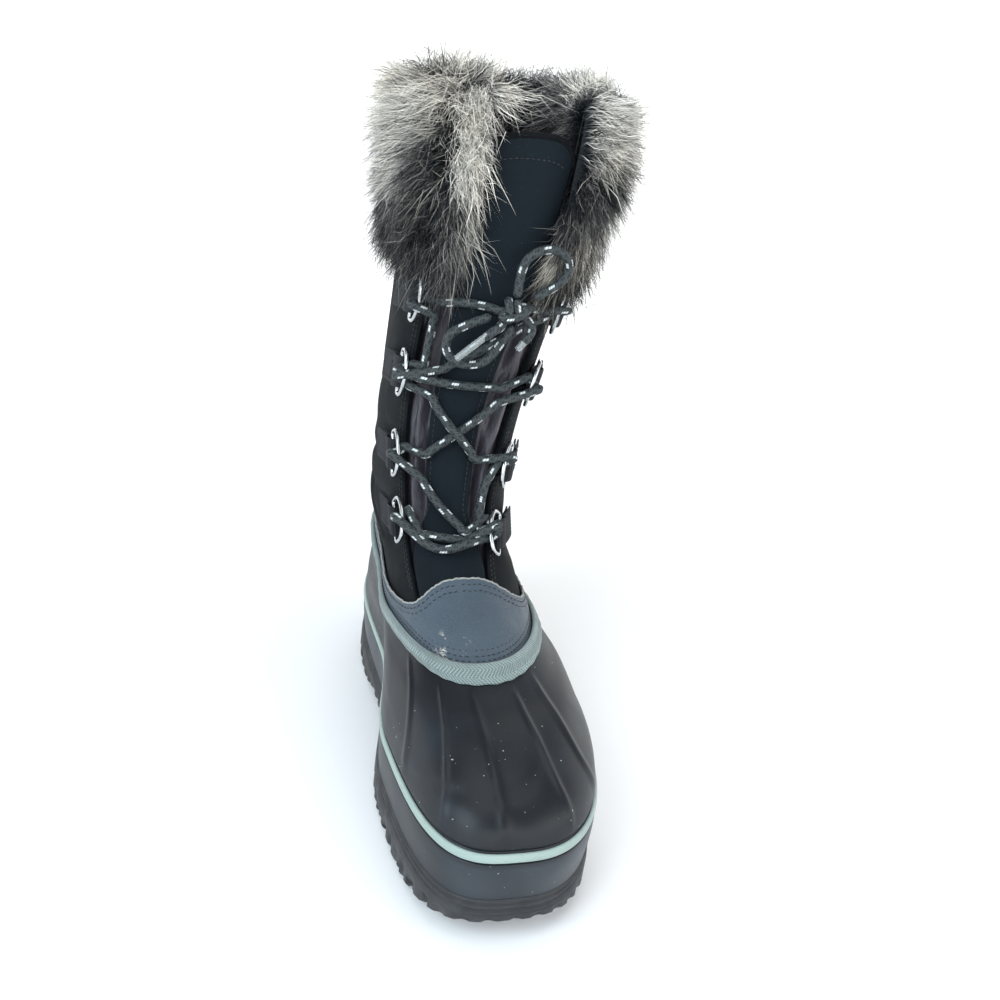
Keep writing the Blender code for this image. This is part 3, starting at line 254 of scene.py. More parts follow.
# How far past the solid cuff the hairs may reach, in x, y and z
HAIR_REACH = np.array([0.0105, 0.0120, 0.0165])
# The pile's patches: seed, lowest and highest place, clumps, hairs in each clump, and pairs of
# points in each hair below its tip
HAIR_PATCHES = {
    "fur_outside": (11, 0.02, 0.50, 600, 48, 3),
    "fur_top": (12, 0.42, 0.76, 580, 48, 3),
    "fur_lining": (13, 0.70, 0.99, 420, 44, 2),
    "fur_outside_fill": (14, 0.03, 0.62, 520, 48, 2),
    "fur_edges": (15, 0.03, 0.78, 270, 40, 3),
}
PATCH_AT_ENDS = "fur_edges"


# The form

def smoothstep(low, high, value):
    """0 below low, 1 above high, smooth between."""
    share = np.clip((value - low) / (high - low), 0.0, 1.0)
    return share * share * (3.0 - 2.0 * share)


def bell(value, centre, width):
    """A soft hump, 1 at its centre."""
    return np.exp(-((value - centre) / width) ** 2)


def degrees_round(phi):
    """The angle from the toe in degrees, outer side positive, from -180 to 180."""
    return np.degrees(np.arctan2(np.sin(phi), np.cos(phi)))


def section_columns(u):
    """The table's columns at section numbers that need not be whole, on a smooth curve."""
    u = np.clip(u, 0.0, LAST_SECTION)
    i = np.minimum(u.astype(int), LAST_SECTION - 1)
    f = (u - i)[..., None]
    before, here = SECTIONS[np.maximum(i - 1, 0)], SECTIONS[i]
    after, later = SECTIONS[i + 1], SECTIONS[np.minimum(i + 2, LAST_SECTION)]
    slope_here, slope_after = (after - before) / 2.0, (later - here) / 2.0
    f2, f3 = f * f, f * f * f
    mixed = ((2 * f3 - 3 * f2 + 1) * here + (f3 - 2 * f2 + f) * slope_here
             + (3 * f2 - 2 * f3) * after + (f3 - f2) * slope_after)
    return dict(zip(COLUMNS, np.moveaxis(mixed, -1, 0)))


def form(u, phi):
    """Points of the outer form: u counts sections upwards, phi turns from the toe (0) to the
    outer side (90 degrees) and the heel (180 degrees)."""
    u, phi = np.broadcast_arrays(np.asarray(u, float), np.asarray(phi, float))
    s = section_columns(u)
    front_y = -(TOE_REACH * s["toe"] + SHAFT_DEPTH * s["depth_f"])
    back_y = HEEL_REACH * s["heel"] + SHAFT_DEPTH * s["depth_b"]
    front_z = (SHELL_BASE + (SHELL_FRONT - SHELL_BASE) * s["low_f"]
               + (COLLAR_HEIGHT - SHELL_FRONT) * s["high_f"])
    back_z = (SHELL_BASE + (SHELL_BACK - SHELL_BASE) * s["low_b"]
              + (COLLAR_HEIGHT - SHELL_BACK) * s["high_b"])
    side = np.where(np.sin(phi) >= 0.0, 1.0, -1.0)
    cosine, sine = np.cos(phi), np.abs(np.sin(phi))
    exponent = 2.0 / s["power"]
    along = (1.0 - np.sign(cosine) * np.abs(cosine) ** exponent) / 2.0
    waist = np.where(side > 0, s["waist_o"], s["waist_i"])
    to_waist = smoothstep(0.30, 0.60, along)
    to_heel = smoothstep(0.58, 0.86, along)
    half = (BALL_WIDTH * (s["ball"] + (waist - s["ball"]) * to_waist)
            + (HEEL_WIDTH * s["heel_w"] - BALL_WIDTH * waist) * to_heel + SHAFT_WIDTH * s["shaft"])
    toe_bend = -TOE_INSET * s["toe"] * np.maximum(0.0, 1.0 - along / 0.36) ** 2
    x = SHAFT_LEAN * s["lean"] + toe_bend + side * half * sine ** exponent
    y = front_y + (back_y - front_y) * along
    z = front_z + (back_z - front_z) * along - BASE_DIP * s["dip"] * np.sin(math.pi * along) ** 2
    return np.stack([x, y, z], axis=-1)


def unit(vectors):
    """The same directions, each one long."""
    return vectors / np.maximum(np.linalg.norm(vectors, axis=-1, keepdims=True), 1e-12)


def all_round(count):
    """Angles evenly spread over one full turn, the last one short of the first."""
    return np.linspace(0.0, TAU, count, endpoint=False)


def distances(route):
    """How far along a route each of its points lies."""
    return np.concatenate([[0.0], np.cumsum(np.linalg.norm(np.diff(route, axis=0), axis=1))])


def form_normal(u, phi):
    """The outward directions of the form, from two short steps along it."""
    u, phi = np.broadcast_arrays(np.asarray(u, float), np.asarray(phi, float))
    step_u, step_phi = 0.02, 0.012
    up = form(np.minimum(u + step_u, LAST_SECTION), phi) - form(np.maximum(u - step_u, 0.0), phi)
    turned = form(u, phi + step_phi) - form(u, phi - step_phi)
    return unit(np.cross(turned, up))


def on_form(u, phi, lift):
    """Points that stand off the smooth form by lift."""
    u, phi, lift = np.broadcast_arrays(*(np.asarray(v, float) for v in (u, phi, lift)))
    return form(u, phi) + form_normal(u, phi) * lift[..., None]


def on_facets(u, phi, lift):
    """A point on the CAD model's own flat facets, which run straight between its rows."""
    last = len(FACET_ROWS) - 2
    k = min(sum(1 for row in FACET_ROWS[1:] if row <= u), last)
    low, high = FACET_ROWS[k], FACET_ROWS[k + 1]
    share = (u - low) / (high - low)
    return on_form(low, phi, lift) * (1.0 - share) + on_form(high, phi, lift) * share


ARC_ROWS = np.linspace(0.0, LAST_SECTION, 18 * 20 + 1)
ARC_STEP = 0.001


def arc_table():
    """For each row, the angle at every millimetre round from the front."""
    turns = np.radians(np.arange(0.0, 181.0))
    rows, angles = np.meshgrid(ARC_ROWS, turns, indexing="ij")
    steps = np.linalg.norm(np.diff(form(rows, angles), axis=1), axis=2)
    travelled = np.concatenate([np.zeros((len(ARC_ROWS), 1)), np.cumsum(steps, axis=1)], axis=1)
    arcs = np.arange(0.0, 0.170, ARC_STEP)
    return np.array([np.interp(arcs, row, turns) for row in travelled])


ARC_TABLE = arc_table()


def angle_at(u, arc):
    """The angle this far round from the front, outer side positive."""
    u, arc = np.broadcast_arrays(np.asarray(u, float), np.asarray(arc, float))
    row = np.clip(u * 20.0, 0.0, len(ARC_ROWS) - 1.001)
    column = np.clip(np.abs(arc) / ARC_STEP, 0.0, ARC_TABLE.shape[1] - 1.001)
    i, j = row.astype(int), column.astype(int)
    f, g = row - i, column - j
    low = ARC_TABLE[i, j] * (1.0 - g) + ARC_TABLE[i, j + 1] * g
    high = ARC_TABLE[i + 1, j] * (1.0 - g) + ARC_TABLE[i + 1, j + 1] * g
    return np.sign(arc) * (low * (1.0 - f) + high * f)


# Meshes

def quads_mesh(name, points, quads, uv, materials, slots=None):
    """An object from points and faces of one kind, with a map in metres for its weave."""
    mesh = bpy.data.meshes.new(name)
    mesh.vertices.add(len(points))
    mesh.vertices.foreach_set("co", np.asarray(points, np.float32).ravel())
    mesh.loops.add(quads.size)
    mesh.loops.foreach_set("vertex_index", quads.astype(np.int32).ravel())
    mesh.polygons.add(len(quads))
    mesh.polygons.foreach_set("loop_start", np.arange(0, quads.size, quads.shape[1], dtype=np.int32))
    if slots is not None:
        mesh.polygons.foreach_set("material_index", np.asarray(slots, np.int32))
    layer = mesh.uv_layers.new(name="metres")
    layer.data.foreach_set("uv", np.asarray(uv, np.float32).ravel())
    mesh.update(calc_edges=True)
    mesh.validate()
    for material in materials:
        mesh.materials.append(material)
    mesh.shade_smooth()
    obj = bpy.data.objects.new(name, mesh)
    bpy.context.scene.collection.objects.link(obj)
    return obj


def lattice(points, uv, wrap_rows, wrap_columns):
    """Faces and their map for a grid of points. uv has one more row or column where it wraps."""
    rows, columns = points.shape[:2]
    i, j = np.meshgrid(np.arange(rows if wrap_rows else rows - 1),
                       np.arange(columns if wrap_columns else columns - 1), indexing="ij")
    corners = ((0, 0), (0, 1), (1, 1), (1, 0))
    quads = np.stack([((i + a) % rows) * columns + (j + b) % columns for a, b in corners], axis=-1)
    mapped = np.stack([uv[i + a, j + b] for a, b in corners], axis=-2)
    return quads.reshape(-1, 4), mapped.reshape(-1, 4, 2)


def metres_map(points, wrap_rows, wrap_columns):
    """A map of a grid: distance along its columns' way and along its rows' way, in metres."""
    if wrap_rows:
        points = np.concatenate([points, points[:1]], axis=0)
    if wrap_columns:
        points = np.concatenate([points, points[:, :1]], axis=1)
    across = np.cumsum(np.linalg.norm(np.diff(points, axis=1), axis=2).mean(axis=0))
    along = np.cumsum(np.linalg.norm(np.diff(points, axis=0), axis=2).mean(axis=1))
    across, along = np.concatenate([[0.0], across]), np.concatenate([[0.0], along])
    return np.stack(np.meshgrid(across, along), axis=-1)


def face_outwards(obj, fill_holes=False):
    """Turns all faces outwards, after closing small holes if asked."""
    work = bmesh.new()
    work.from_mesh(obj.data)
    if fill_holes:
        bmesh.ops.holes_fill(work, edges=[e for e in work.edges if e.is_boundary], sides=8)
    bmesh.ops.recalc_face_normals(work, faces=work.faces)
    work.to_mesh(obj.data)
    work.free()


def surface(name, points, material, wrap_rows=False, wrap_columns=False):
    """A smooth surface through a grid of points."""
    uv = metres_map(points, wrap_rows, wrap_columns)
    quads, mapped = lattice(points, uv, wrap_rows, wrap_columns)
    return quads_mesh(name, points.reshape(-1, 3), quads, mapped, [material])


def walled(name, outer, inner, materials, wrap_columns=False):
    """A sheet with thickness between two grids, its edges closed. The second material, if
    there is one, lines it."""
    rows, columns = outer.shape[:2]
    points = np.concatenate([outer, inner[::-1]], axis=0)
    outer_map = metres_map(outer, False, wrap_columns)
    uv = np.concatenate([outer_map, outer_map[::-1], outer_map[:1]], axis=0)
    quads, mapped = lattice(points, uv, True, wrap_columns)
    row = np.arange(len(quads)) * 2 * rows // len(quads)
    slots = np.where((row >= rows) & (row < 2 * rows - 1), len(materials) - 1, 0)
    if not wrap_columns:
        i = np.arange(rows - 1)
        for column in (0, columns - 1):
            ends = np.stack([i, i + 1, 2 * rows - 2 - i, 2 * rows - 1 - i], axis=-1) * columns + column
            quads = np.concatenate([quads, ends])
            mapped = np.concatenate([mapped, np.repeat(outer_map[i, column][:, None], 4, axis=1)])
            slots = np.concatenate([slots, np.zeros(rows - 1, int)])
    obj = quads_mesh(name, points.reshape(-1, 3), quads, mapped, materials, slots)
    face_outwards(obj)
    obj.data.set_sharp_from_angle(angle=math.radians(SHEET_EDGE))
    return obj


def smooth_route(points, count):
    """Points along a smooth curve through the given ones, evenly spread between them."""
    given = np.asarray(points, float)
    padded = np.concatenate([[given[0] * 2 - given[1]], given, [given[-1] * 2 - given[-2]]])
    place = np.arange(count) * (len(given) - 1) / (count - 1)
    i = np.minimum(place.astype(int), len(given) - 2)
    f = (place - i)[:, None]
    a, b, c, d = padded[i], padded[i + 1], padded[i + 2], padded[i + 3]
    return 0.5 * (2 * b + (c - a) * f + (2 * a - 5 * b + 4 * c - d) * f * f
                  + (3 * b - a - 3 * c + d) * f ** 3)


def even_route(points, spacing):
    """The same smooth curve with its points at an even spacing in metres."""
    fine = smooth_route(points, 24 * len(points))
    travelled = distances(fine)
    count = max(3, int(round(travelled[-1] / spacing)) + 1)
    stops = np.linspace(0.0, travelled[-1], count)
    return np.stack([np.interp(stops, travelled, fine[:, k]) for k in range(3)], axis=-1)


def frames_along(route):
    """For each point of a route, two directions across it that turn as little as they can."""
    ahead = unit(np.gradient(route, axis=0))
    normal = np.cross(ahead[0], [0.0, 0.0, 1.0])
    if np.linalg.norm(normal) < 0.1:
        normal = np.cross(ahead[0], [1.0, 0.0, 0.0])
    normals = []
    for direction in ahead:
        normal = unit(normal - direction * normal.dot(direction))
        normals.append(normal)
    normals = np.array(normals)
    return normals, np.cross(ahead, normals)


def rounded_ends(route, radius):
    """Radii that close a tube's two ends with a small round."""
    travelled = distances(route)
    from_end = np.minimum(travelled, travelled[-1] - travelled)
    return radius * np.sqrt(np.clip(1.0 - (1.0 - np.minimum(from_end / radius, 1.0)) ** 2, 0.02, 1.0))


def tube(name, route, radii, material, sides=12, closed=False):
    """A round cord or wire of one radius, or one for each point. Its map runs along it and
    once round it."""
    normals, across = frames_along(route)
    turns = all_round(sides)[None, :, None]
    radii = np.broadcast_to(np.asarray(radii, float), (len(route),))[:, None, None]
    grid = route[:, None] + radii * (normals[:, None] * np.cos(turns) + across[:, None] * np.sin(turns))
    along = distances(np.concatenate([route, route[:1]]))[:len(route) + closed]
    uv = np.stack(np.meshgrid(np.arange(sides + 1) / sides, along), axis=-1)[..., ::-1]
    quads, mapped = lattice(grid, uv, closed, True)
    return quads_mesh(name, grid.reshape(-1, 3), quads, mapped, [material])


def join(name, objects):
    """One piece from several, their meshes put together."""
    first = objects[0]
    work = bmesh.new()
    for obj in objects:
        work.from_mesh(obj.data)
    work.to_mesh(first.data)
    work.free()
    for obj in objects[1:]:
        bpy.data.objects.remove(obj)
    first.name = name
    first.data.name = name
    return first


def settle(obj, slot_name, *nodes):
    """Puts a finished piece on the boot and hides the nodes it stands for. Its slot_name, the finish's name,
    is not used.
    """
    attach(obj, "root")
    if nodes:
        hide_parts(*nodes)
    return obj


# Materials

class Finish:
    """A material in the making: its node tree, its shader, and short ways to add nodes."""

    def __init__(self, name, colour, roughness, **values):
        self.material = bpy.data.materials.new(name)
        self.material.use_nodes = True
        self.tree = self.material.node_tree
        self.shader = self.tree.nodes["Principled BSDF"]
        self.shader.inputs["Base Color"].default_value = (*colour, 1.0)
        self.shader.inputs["Roughness"].default_value = roughness
        for key, value in values.items():
            self.shader.inputs[key.replace("_", " ")].default_value = value
        self.space = self.add("ShaderNodeTexCoord").outputs["Object"]
        self.height = None

    def add(self, kind, **settings):
        node = self.tree.nodes.new(kind)
        for key, value in settings.items():
            setattr(node, key, value)
        return node

    def feed(self, socket, value):
        if isinstance(value, bpy.types.NodeSocket):
            self.tree.links.new(value, socket)
        elif isinstance(value, tuple) and len(value) == 3 and socket.type == "RGBA":
            socket.default_value = (*value, 1.0)
        else:
            socket.default_value = value

    def maths(self, operation, a, b=0.0, c=0.0):
        node = self.add("ShaderNodeMath", operation=operation)
        for socket, value in zip(node.inputs, (a, b, c)):
            self.feed(socket, value)
        return node.outputs[0]

    def times(self, a, b):
        return self.maths("MULTIPLY", a, b)

    def plus(self, a, b):
        return self.maths("ADD", a, b)

    def times_plus(self, a, b, c):
        return self.maths("MULTIPLY_ADD", a, b, c)

    def between(self, value, low, high, start=0.0, end=1.0):
        """value spread smoothly from start at low to end at high."""
        node = self.add("ShaderNodeMapRange", interpolation_type="SMOOTHSTEP")
        for name, given in (("Value", value), ("From Min", low), ("From Max", high),
                            ("To Min", start), ("To Max", end)):
            self.feed(node.inputs[name], given)
        return node.outputs["Result"]

    def blend(self, share, a, b):
        """Colour a turning into colour b."""
        node = self.add("ShaderNodeMix", data_type="RGBA")
        self.feed(node.inputs["Factor"], share)
        self.feed(node.inputs[6], a)
        self.feed(node.inputs[7], b)
        return node.outputs[2]

    def noise(self, scale, detail=2.0, stretch=None, sharp=0.5):
        node = self.add("ShaderNodeTexNoise")
        vector = self.space
        if stretch:
            mapping = self.add("ShaderNodeMapping")
            self.feed(mapping.inputs["Vector"], vector)
            mapping.inputs["Scale"].default_value = stretch
            vector = mapping.outputs["Vector"]
        self.feed(node.inputs["Vector"], vector)
        self.feed(node.inputs["Scale"], scale)
        self.feed(node.inputs["Detail"], detail)
        self.feed(node.inputs["Roughness"], sharp)
        return node.outputs["Fac"]

    def cells(self, scale):
        node = self.add("ShaderNodeTexVoronoi", feature="DISTANCE_TO_EDGE")
        self.feed(node.inputs["Vector"], self.space)
        self.feed(node.inputs["Scale"], scale)
        return node.outputs["Distance"]

    def mapped(self):
        """The two numbers of the piece's own map."""
        node = self.add("ShaderNodeSeparateXYZ")
        self.tree.links.new(self.add("ShaderNodeUVMap", uv_map="metres").outputs[0], node.inputs[0])
        return node.outputs[0], node.outputs[1]

    def wave(self, value, period):
        """A sine of value with this period, from 0 to 1."""
        turned = self.times(value, TAU / period)
        return self.times_plus(self.maths("SINE", turned), 0.5, 0.5)

    def raise_by(self, height, distance, strength=1.0):
        """Adds a bump. Several lie on one another."""
        node = self.add("ShaderNodeBump")
        self.feed(node.inputs["Height"], height)
        node.inputs["Distance"].default_value = distance
        node.inputs["Strength"].default_value = strength
        if self.height is not None:
            self.tree.links.new(self.height, node.inputs["Normal"])
        self.height = node.outputs["Normal"]

    def colour(self, value):
        self.tree.links.new(value, self.shader.inputs["Base Color"])

    def roughness(self, value):
        self.tree.links.new(value, self.shader.inputs["Roughness"])

    def done(self):
        if self.height is not None:
            self.tree.links.new(self.height, self.shader.inputs["Normal"])
        return self.material


def rand_reach():
    """Distance up the shell's map from its lower edge to the pale stripe."""
    rows, angles = np.meshgrid(np.linspace(0.0, STRIPE_LOW, 9), np.linspace(-3.1, 3.1, 80),
                               indexing="ij")
    steps = np.diff(on_form(rows, angles, 0.0), axis=0)
    return float(np.linalg.norm(steps, axis=2).mean(axis=1).sum())


def shell_rubber():
    """Satin black rubber with a film of dust, a few pale specks and fine scratches. Below the stripe
    the film is thicker and paler in patches: partly dust, partly a painted reflection of the floor."""
    paint = Finish("shell_rubber", (0.008, 0.010, 0.014), 0.45, Specular_IOR_Level=0.36)
    film = paint.between(paint.noise(22.0, 4.0), 0.42, 0.72)
    specks = paint.between(paint.noise(620.0, 1.0), 0.775, 0.80)
    scratch = paint.between(paint.noise(60.0, 5.0, (1.0, 9.0, 1.0), 0.7), 0.70, 0.80)
    base = paint.blend(film, (0.003, 0.005, 0.008), (0.008, 0.013, 0.020))
    up = paint.mapped()[1]
    rand = paint.between(up, rand_reach() + 0.001, rand_reach() - 0.003)
    # Below the stripe: a paler patchy tone, partly dust and partly a painted reflection of the bright floor
    # on the rand
    rand_dust_and_painted_reflection = paint.times(rand, paint.between(paint.noise(11.0, 2.0), 0.32, 0.66, 0.10, 1.0))
    base = paint.blend(rand_dust_and_painted_reflection, base, (0.044, 0.054, 0.066))
    base = paint.blend(paint.times(scratch, 0.30), base, (0.08, 0.10, 0.11))
    paint.colour(paint.blend(specks, base, (0.36, 0.40, 0.42)))
    paint.roughness(paint.plus(paint.times(film, 0.12), 0.40))
    paint.raise_by(paint.noise(700.0, 3.0), 0.00004)
    paint.raise_by(paint.noise(40.0, 2.0), 0.00004)
    return paint.done()


def sole_rubber():
    """Matte outsole rubber, greyer where it has been walked on."""
    paint = Finish("sole_rubber", (0.016, 0.016, 0.018), 0.62)
    split = paint.add("ShaderNodeSeparateXYZ")
    paint.feed(split.inputs[0], paint.space)
    low = paint.between(split.outputs[2], 0.016, 0.002)
    worn = paint.times(low, paint.between(paint.noise(90.0, 5.0, None, 0.7), 0.35, 0.7))
    base = paint.blend(paint.noise(30.0, 3.0), (0.014, 0.015, 0.018), (0.030, 0.032, 0.036))
    paint.colour(paint.blend(paint.times(worn, 0.55), base, (0.12, 0.12, 0.115)))
    paint.roughness(paint.between(paint.noise(120.0, 3.0), 0.3, 0.7, 0.52, 0.74))
    paint.raise_by(paint.noise(1100.0, 3.0), 0.00008)
    return paint.done()


def pale_stripe():
    """The mint-grey line round the shell, a little dirty at its edges."""
    paint = Finish("pale_stripe", (0.50, 0.60, 0.56), 0.48)
    dirt = paint.between(paint.noise(150.0, 5.0, None, 0.7), 0.52, 0.78)
    tone = paint.blend(paint.noise(28.0, 3.0), (0.24, 0.32, 0.295), (0.33, 0.41, 0.38))
    paint.colour(paint.blend(paint.times(dirt, 0.5), tone, (0.16, 0.19, 0.18)))
    paint.raise_by(paint.noise(500.0, 3.0), 0.00006)
    return paint.done()


def woven_band():
    """Herringbone tape, pale grey-green and a little soiled."""
    paint = Finish("woven_band", (0.40, 0.50, 0.47), 0.78, Sheen_Weight=0.25)
    along, across = paint.mapped()
    folded = paint.maths("PINGPONG", across, HERRINGBONE_FOLD)
    twill = paint.wave(paint.plus(along, paint.times(folded, 1.1)), HERRINGBONE_PITCH)
    thread = paint.wave(across, 0.0008)
    weave = paint.times_plus(thread, 0.2, paint.times(twill, 0.8))
    soil = paint.between(paint.noise(110.0, 5.0, None, 0.7), 0.45, 0.75)
    tone = paint.blend(weave, (0.10, 0.145, 0.145), (0.29, 0.36, 0.35))
    paint.colour(paint.blend(paint.times(soil, 0.35), tone, (0.09, 0.115, 0.115)))
    paint.raise_by(weave, 0.00045)
    return paint.done()


def overlay_leather():
    """Slate grey leather with a fine grain and a pale scuff in front."""
    paint = Finish("smooth_leather", (0.035, 0.047, 0.062), 0.42, Specular_IOR_Level=0.45)
    grain = paint.cells(900.0)
    tone = paint.blend(paint.noise(35.0, 3.0), (0.034, 0.051, 0.070), (0.060, 0.086, 0.113))
    place = paint.add("ShaderNodeVectorMath", operation="DISTANCE")
    paint.feed(place.inputs[0], paint.space)
    spot = on_form(LEATHER_EDGE, angle_at(LEATHER_EDGE, -0.010), UPPER_OUT + 0.002)
    place.inputs[1].default_value = tuple(float(v) for v in spot)
    near = paint.between(place.outputs["Value"], 0.011, 0.004)
    marks = paint.between(paint.noise(95.0, 6.0, (1.0, 0.5, 1.8), 0.75), 0.55, 0.60)
    paint.colour(paint.blend(paint.times(near, marks), tone, (0.50, 0.49, 0.44)))
    paint.roughness(paint.between(paint.noise(80.0, 3.0), 0.3, 0.7, 0.36, 0.52))
    paint.raise_by(paint.between(grain, 0.0, 0.25), 0.00012)
    paint.raise_by(paint.noise(45.0, 3.0), 0.0006)
    return paint.done()


def raw_edge():
    """The leather's pale cut edge."""
    paint = Finish("raw_leather_edge", (0.26, 0.27, 0.26), 0.85)
    paint.colour(paint.blend(paint.noise(900.0, 3.0), (0.12, 0.13, 0.13), (0.42, 0.43, 0.40)))
    paint.raise_by(paint.noise(1500.0, 3.0), 0.0002)
    return paint.done()


def softshell(name, colour, light, period=0.0009):
    """Dark stretch fabric with a fine twill and a soft sheen."""
    paint = Finish(name, colour, 0.72, Specular_IOR_Level=0.11)
    along, across = paint.mapped()
    twill = paint.wave(paint.plus(along, across), period)
    rib = paint.wave(paint.maths("SUBTRACT", along, paint.times(across, 0.4)), period * 0.7)
    weave = paint.times_plus(rib, 0.35, paint.times(twill, 0.65))
    patch = paint.noise(26.0, 4.0)
    lint = paint.between(paint.noise(800.0, 2.0), 0.735, 0.78)
    tone = paint.blend(paint.times_plus(weave, 0.5, paint.times(patch, 0.5)),
                       colour, light)
    paint.colour(paint.blend(paint.times(lint, 0.35), tone, (0.16, 0.18, 0.19)))
    paint.roughness(paint.between(patch, 0.3, 0.7, 0.62, 0.80))
    paint.raise_by(weave, 0.00012)
    paint.raise_by(paint.noise(70.0, 3.0), 0.0005)
    return paint.done()


def gusset_satin():
    """Thin satin lining, a purplish grey, with drawn pleats. Its colour follows the pleats' bump: painted
    shade in the hollows, painted sheen on the ridges.
    """
    paint = Finish("gusset_satin", (0.040, 0.036, 0.046), 0.36, Sheen_Weight=0.1)
    thread = paint.wave(paint.mapped()[1], 0.0005)
    crease = paint.noise(120.0, 4.0, (1.0, 1.0, 0.25), 0.6)
    # Colour follows the fold bump: painted shade in the hollows, painted sheen on the ridges
    paint.colour(paint.blend(crease, (0.012, 0.011, 0.015), (0.060, 0.052, 0.068)))
    paint.roughness(paint.between(crease, 0.3, 0.7, 0.28, 0.46))
    paint.raise_by(thread, 0.00004)
    paint.raise_by(crease, 0.0014)
    return paint.done()


def fleece(name, dark, light):
    """Short, dense pile that lines the shaft."""
    paint = Finish(name, dark, 0.95, Sheen_Weight=0.08, Specular_IOR_Level=0.2)
    pile = paint.noise(420.0, 4.0, None, 0.7)
    paint.colour(paint.blend(pile, dark, light))
    paint.raise_by(pile, 0.0010)
    return paint.done()


def cuff_fur():
    """Long pile: dark at the roots, cream-grey at the tips. The map runs along each hair, and
    its second number says how pale that hair's tip is."""
    paint = Finish("cuff_fur", (0.05, 0.05, 0.05), 0.62, Specular_IOR_Level=0.25)
    along, pale = paint.mapped()
    start = paint.times_plus(pale, -0.38, 0.42)
    tip = paint.times(paint.between(along, start, 0.80), pale)
    warm = paint.blend(paint.between(paint.noise(14.0, 2.0), 0.35, 0.65),
                       (0.86, 0.83, 0.78), (0.93, 0.87, 0.75))
    dark = paint.blend(pale, (0.004, 0.006, 0.009), (0.020, 0.023, 0.026))
    paint.colour(paint.blend(tip, dark, warm))
    return paint.done()


def ring_steel():
    """Polished nickel-plated wire with fine wear."""
    paint = Finish("ring_steel", (0.70, 0.71, 0.72), 0.16, Metallic=1.0)
    wear = paint.between(paint.noise(300.0, 4.0, None, 0.7), 0.5, 0.8)
    paint.colour(paint.blend(wear, (0.46, 0.48, 0.49), (0.26, 0.27, 0.27)))
    paint.roughness(paint.between(wear, 0.0, 1.0, 0.12, 0.38))
    paint.raise_by(paint.noise(900.0, 2.0), 0.00003)
    return paint.done()


def loop_webbing():
    """Black woven tape with ribs across it."""
    paint = Finish("loop_webbing", (0.010, 0.011, 0.014), 0.68, Specular_IOR_Level=0.3)
    along, across = paint.mapped()
    rib = paint.wave(along, 0.0011)
    thread = paint.wave(across, 0.0007)
    weave = paint.times_plus(rib, 0.6, paint.times(thread, 0.4))
    paint.colour(paint.blend(weave, (0.005, 0.006, 0.008), (0.022, 0.024, 0.029)))
    paint.raise_by(weave, 0.0003)
    return paint.done()


def braided_lace():
    """Round braided lace, charcoal, with a pair of silver flecks every 16 mm."""
    paint = Finish("lace_cord", (0.020, 0.025, 0.027), 0.60, Specular_IOR_Level=0.35)
    along, round_ = paint.mapped()
    turns = paint.times(along, 1.0 / BRAID_PITCH)
    spun = paint.times(round_, 4.0)
    left = paint.wave(paint.plus(turns, spun), 1.0)
    right = paint.wave(paint.maths("SUBTRACT", turns, spun), 1.0)
    braid = paint.maths("MAXIMUM", left, right)
    plait = paint.wave(paint.plus(paint.times(turns, 4.0), spun), 1.0)
    weave = paint.times_plus(plait, 0.4, paint.times(braid, 0.6))
    half_turn = paint.maths("FRACT", paint.times(round_, 2.0))
    stagger = paint.maths("GREATER_THAN", half_turn, 0.5)
    place = paint.times_plus(along, 1.0 / FLECK_PITCH, paint.times(stagger, 0.10))
    leant = paint.maths("FRACT", paint.times_plus(round_, 0.30, place))
    dash = paint.maths("LESS_THAN", leant, 0.20)
    strand = paint.maths("COMPARE", paint.maths("FRACT", spun), 0.5, 0.17)
    base = paint.blend(weave, (0.001, 0.002, 0.003), (0.042, 0.052, 0.055))
    bright = paint.blend(plait, (0.30, 0.34, 0.35), (0.66, 0.70, 0.70))
    paint.colour(paint.blend(paint.times(dash, strand), base, bright))
    paint.raise_by(weave, 0.0004)
    return paint.done()


def clear_aglet():
    """Clear plastic tip, a little yellowed and scratched."""
    paint = Finish("clear_aglet", (0.78, 0.84, 0.84), 0.16, Transmission_Weight=0.75, IOR=1.46)
    cloud = paint.noise(260.0, 4.0, None, 0.7)
    paint.colour(paint.blend(cloud, (0.62, 0.70, 0.71), (0.90, 0.94, 0.94)))
    paint.roughness(paint.between(cloud, 0.3, 0.7, 0.10, 0.30))
    paint.raise_by(cloud, 0.0003)
    return paint.done()


def stitch_thread():
    """Dark sewing thread, twisted."""
    paint = Finish("stitch_thread", (0.012, 0.013, 0.015), 0.6)
    ply = paint.wave(paint.mapped()[0], 0.0006)
    paint.colour(paint.blend(ply, (0.006, 0.007, 0.008), (0.030, 0.033, 0.038)))
    paint.raise_by(ply, 0.0001)
    return paint.done()


def floor_paint():
    """The studio's white floor, which glows more the farther it is from the boot."""
    paint = Finish("studio_floor", (0.94, 0.94, 0.94), 0.75, Specular_IOR_Level=0.2,
                   Emission_Color=(1.0, 1.0, 1.0, 1.0))
    distance = paint.add("ShaderNodeVectorMath", operation="LENGTH")
    paint.feed(distance.inputs[0], paint.space)
    glow = paint.between(distance.outputs["Value"], *GLOW_REACH, 0.0, GLOW_MOST)
    paint.feed(paint.shader.inputs["Emission Strength"], glow)
    paint.colour(paint.blend(paint.noise(3.0, 2.0), (0.93, 0.93, 0.93), (0.95, 0.95, 0.95)))
    return paint.done()


# Sole and shell

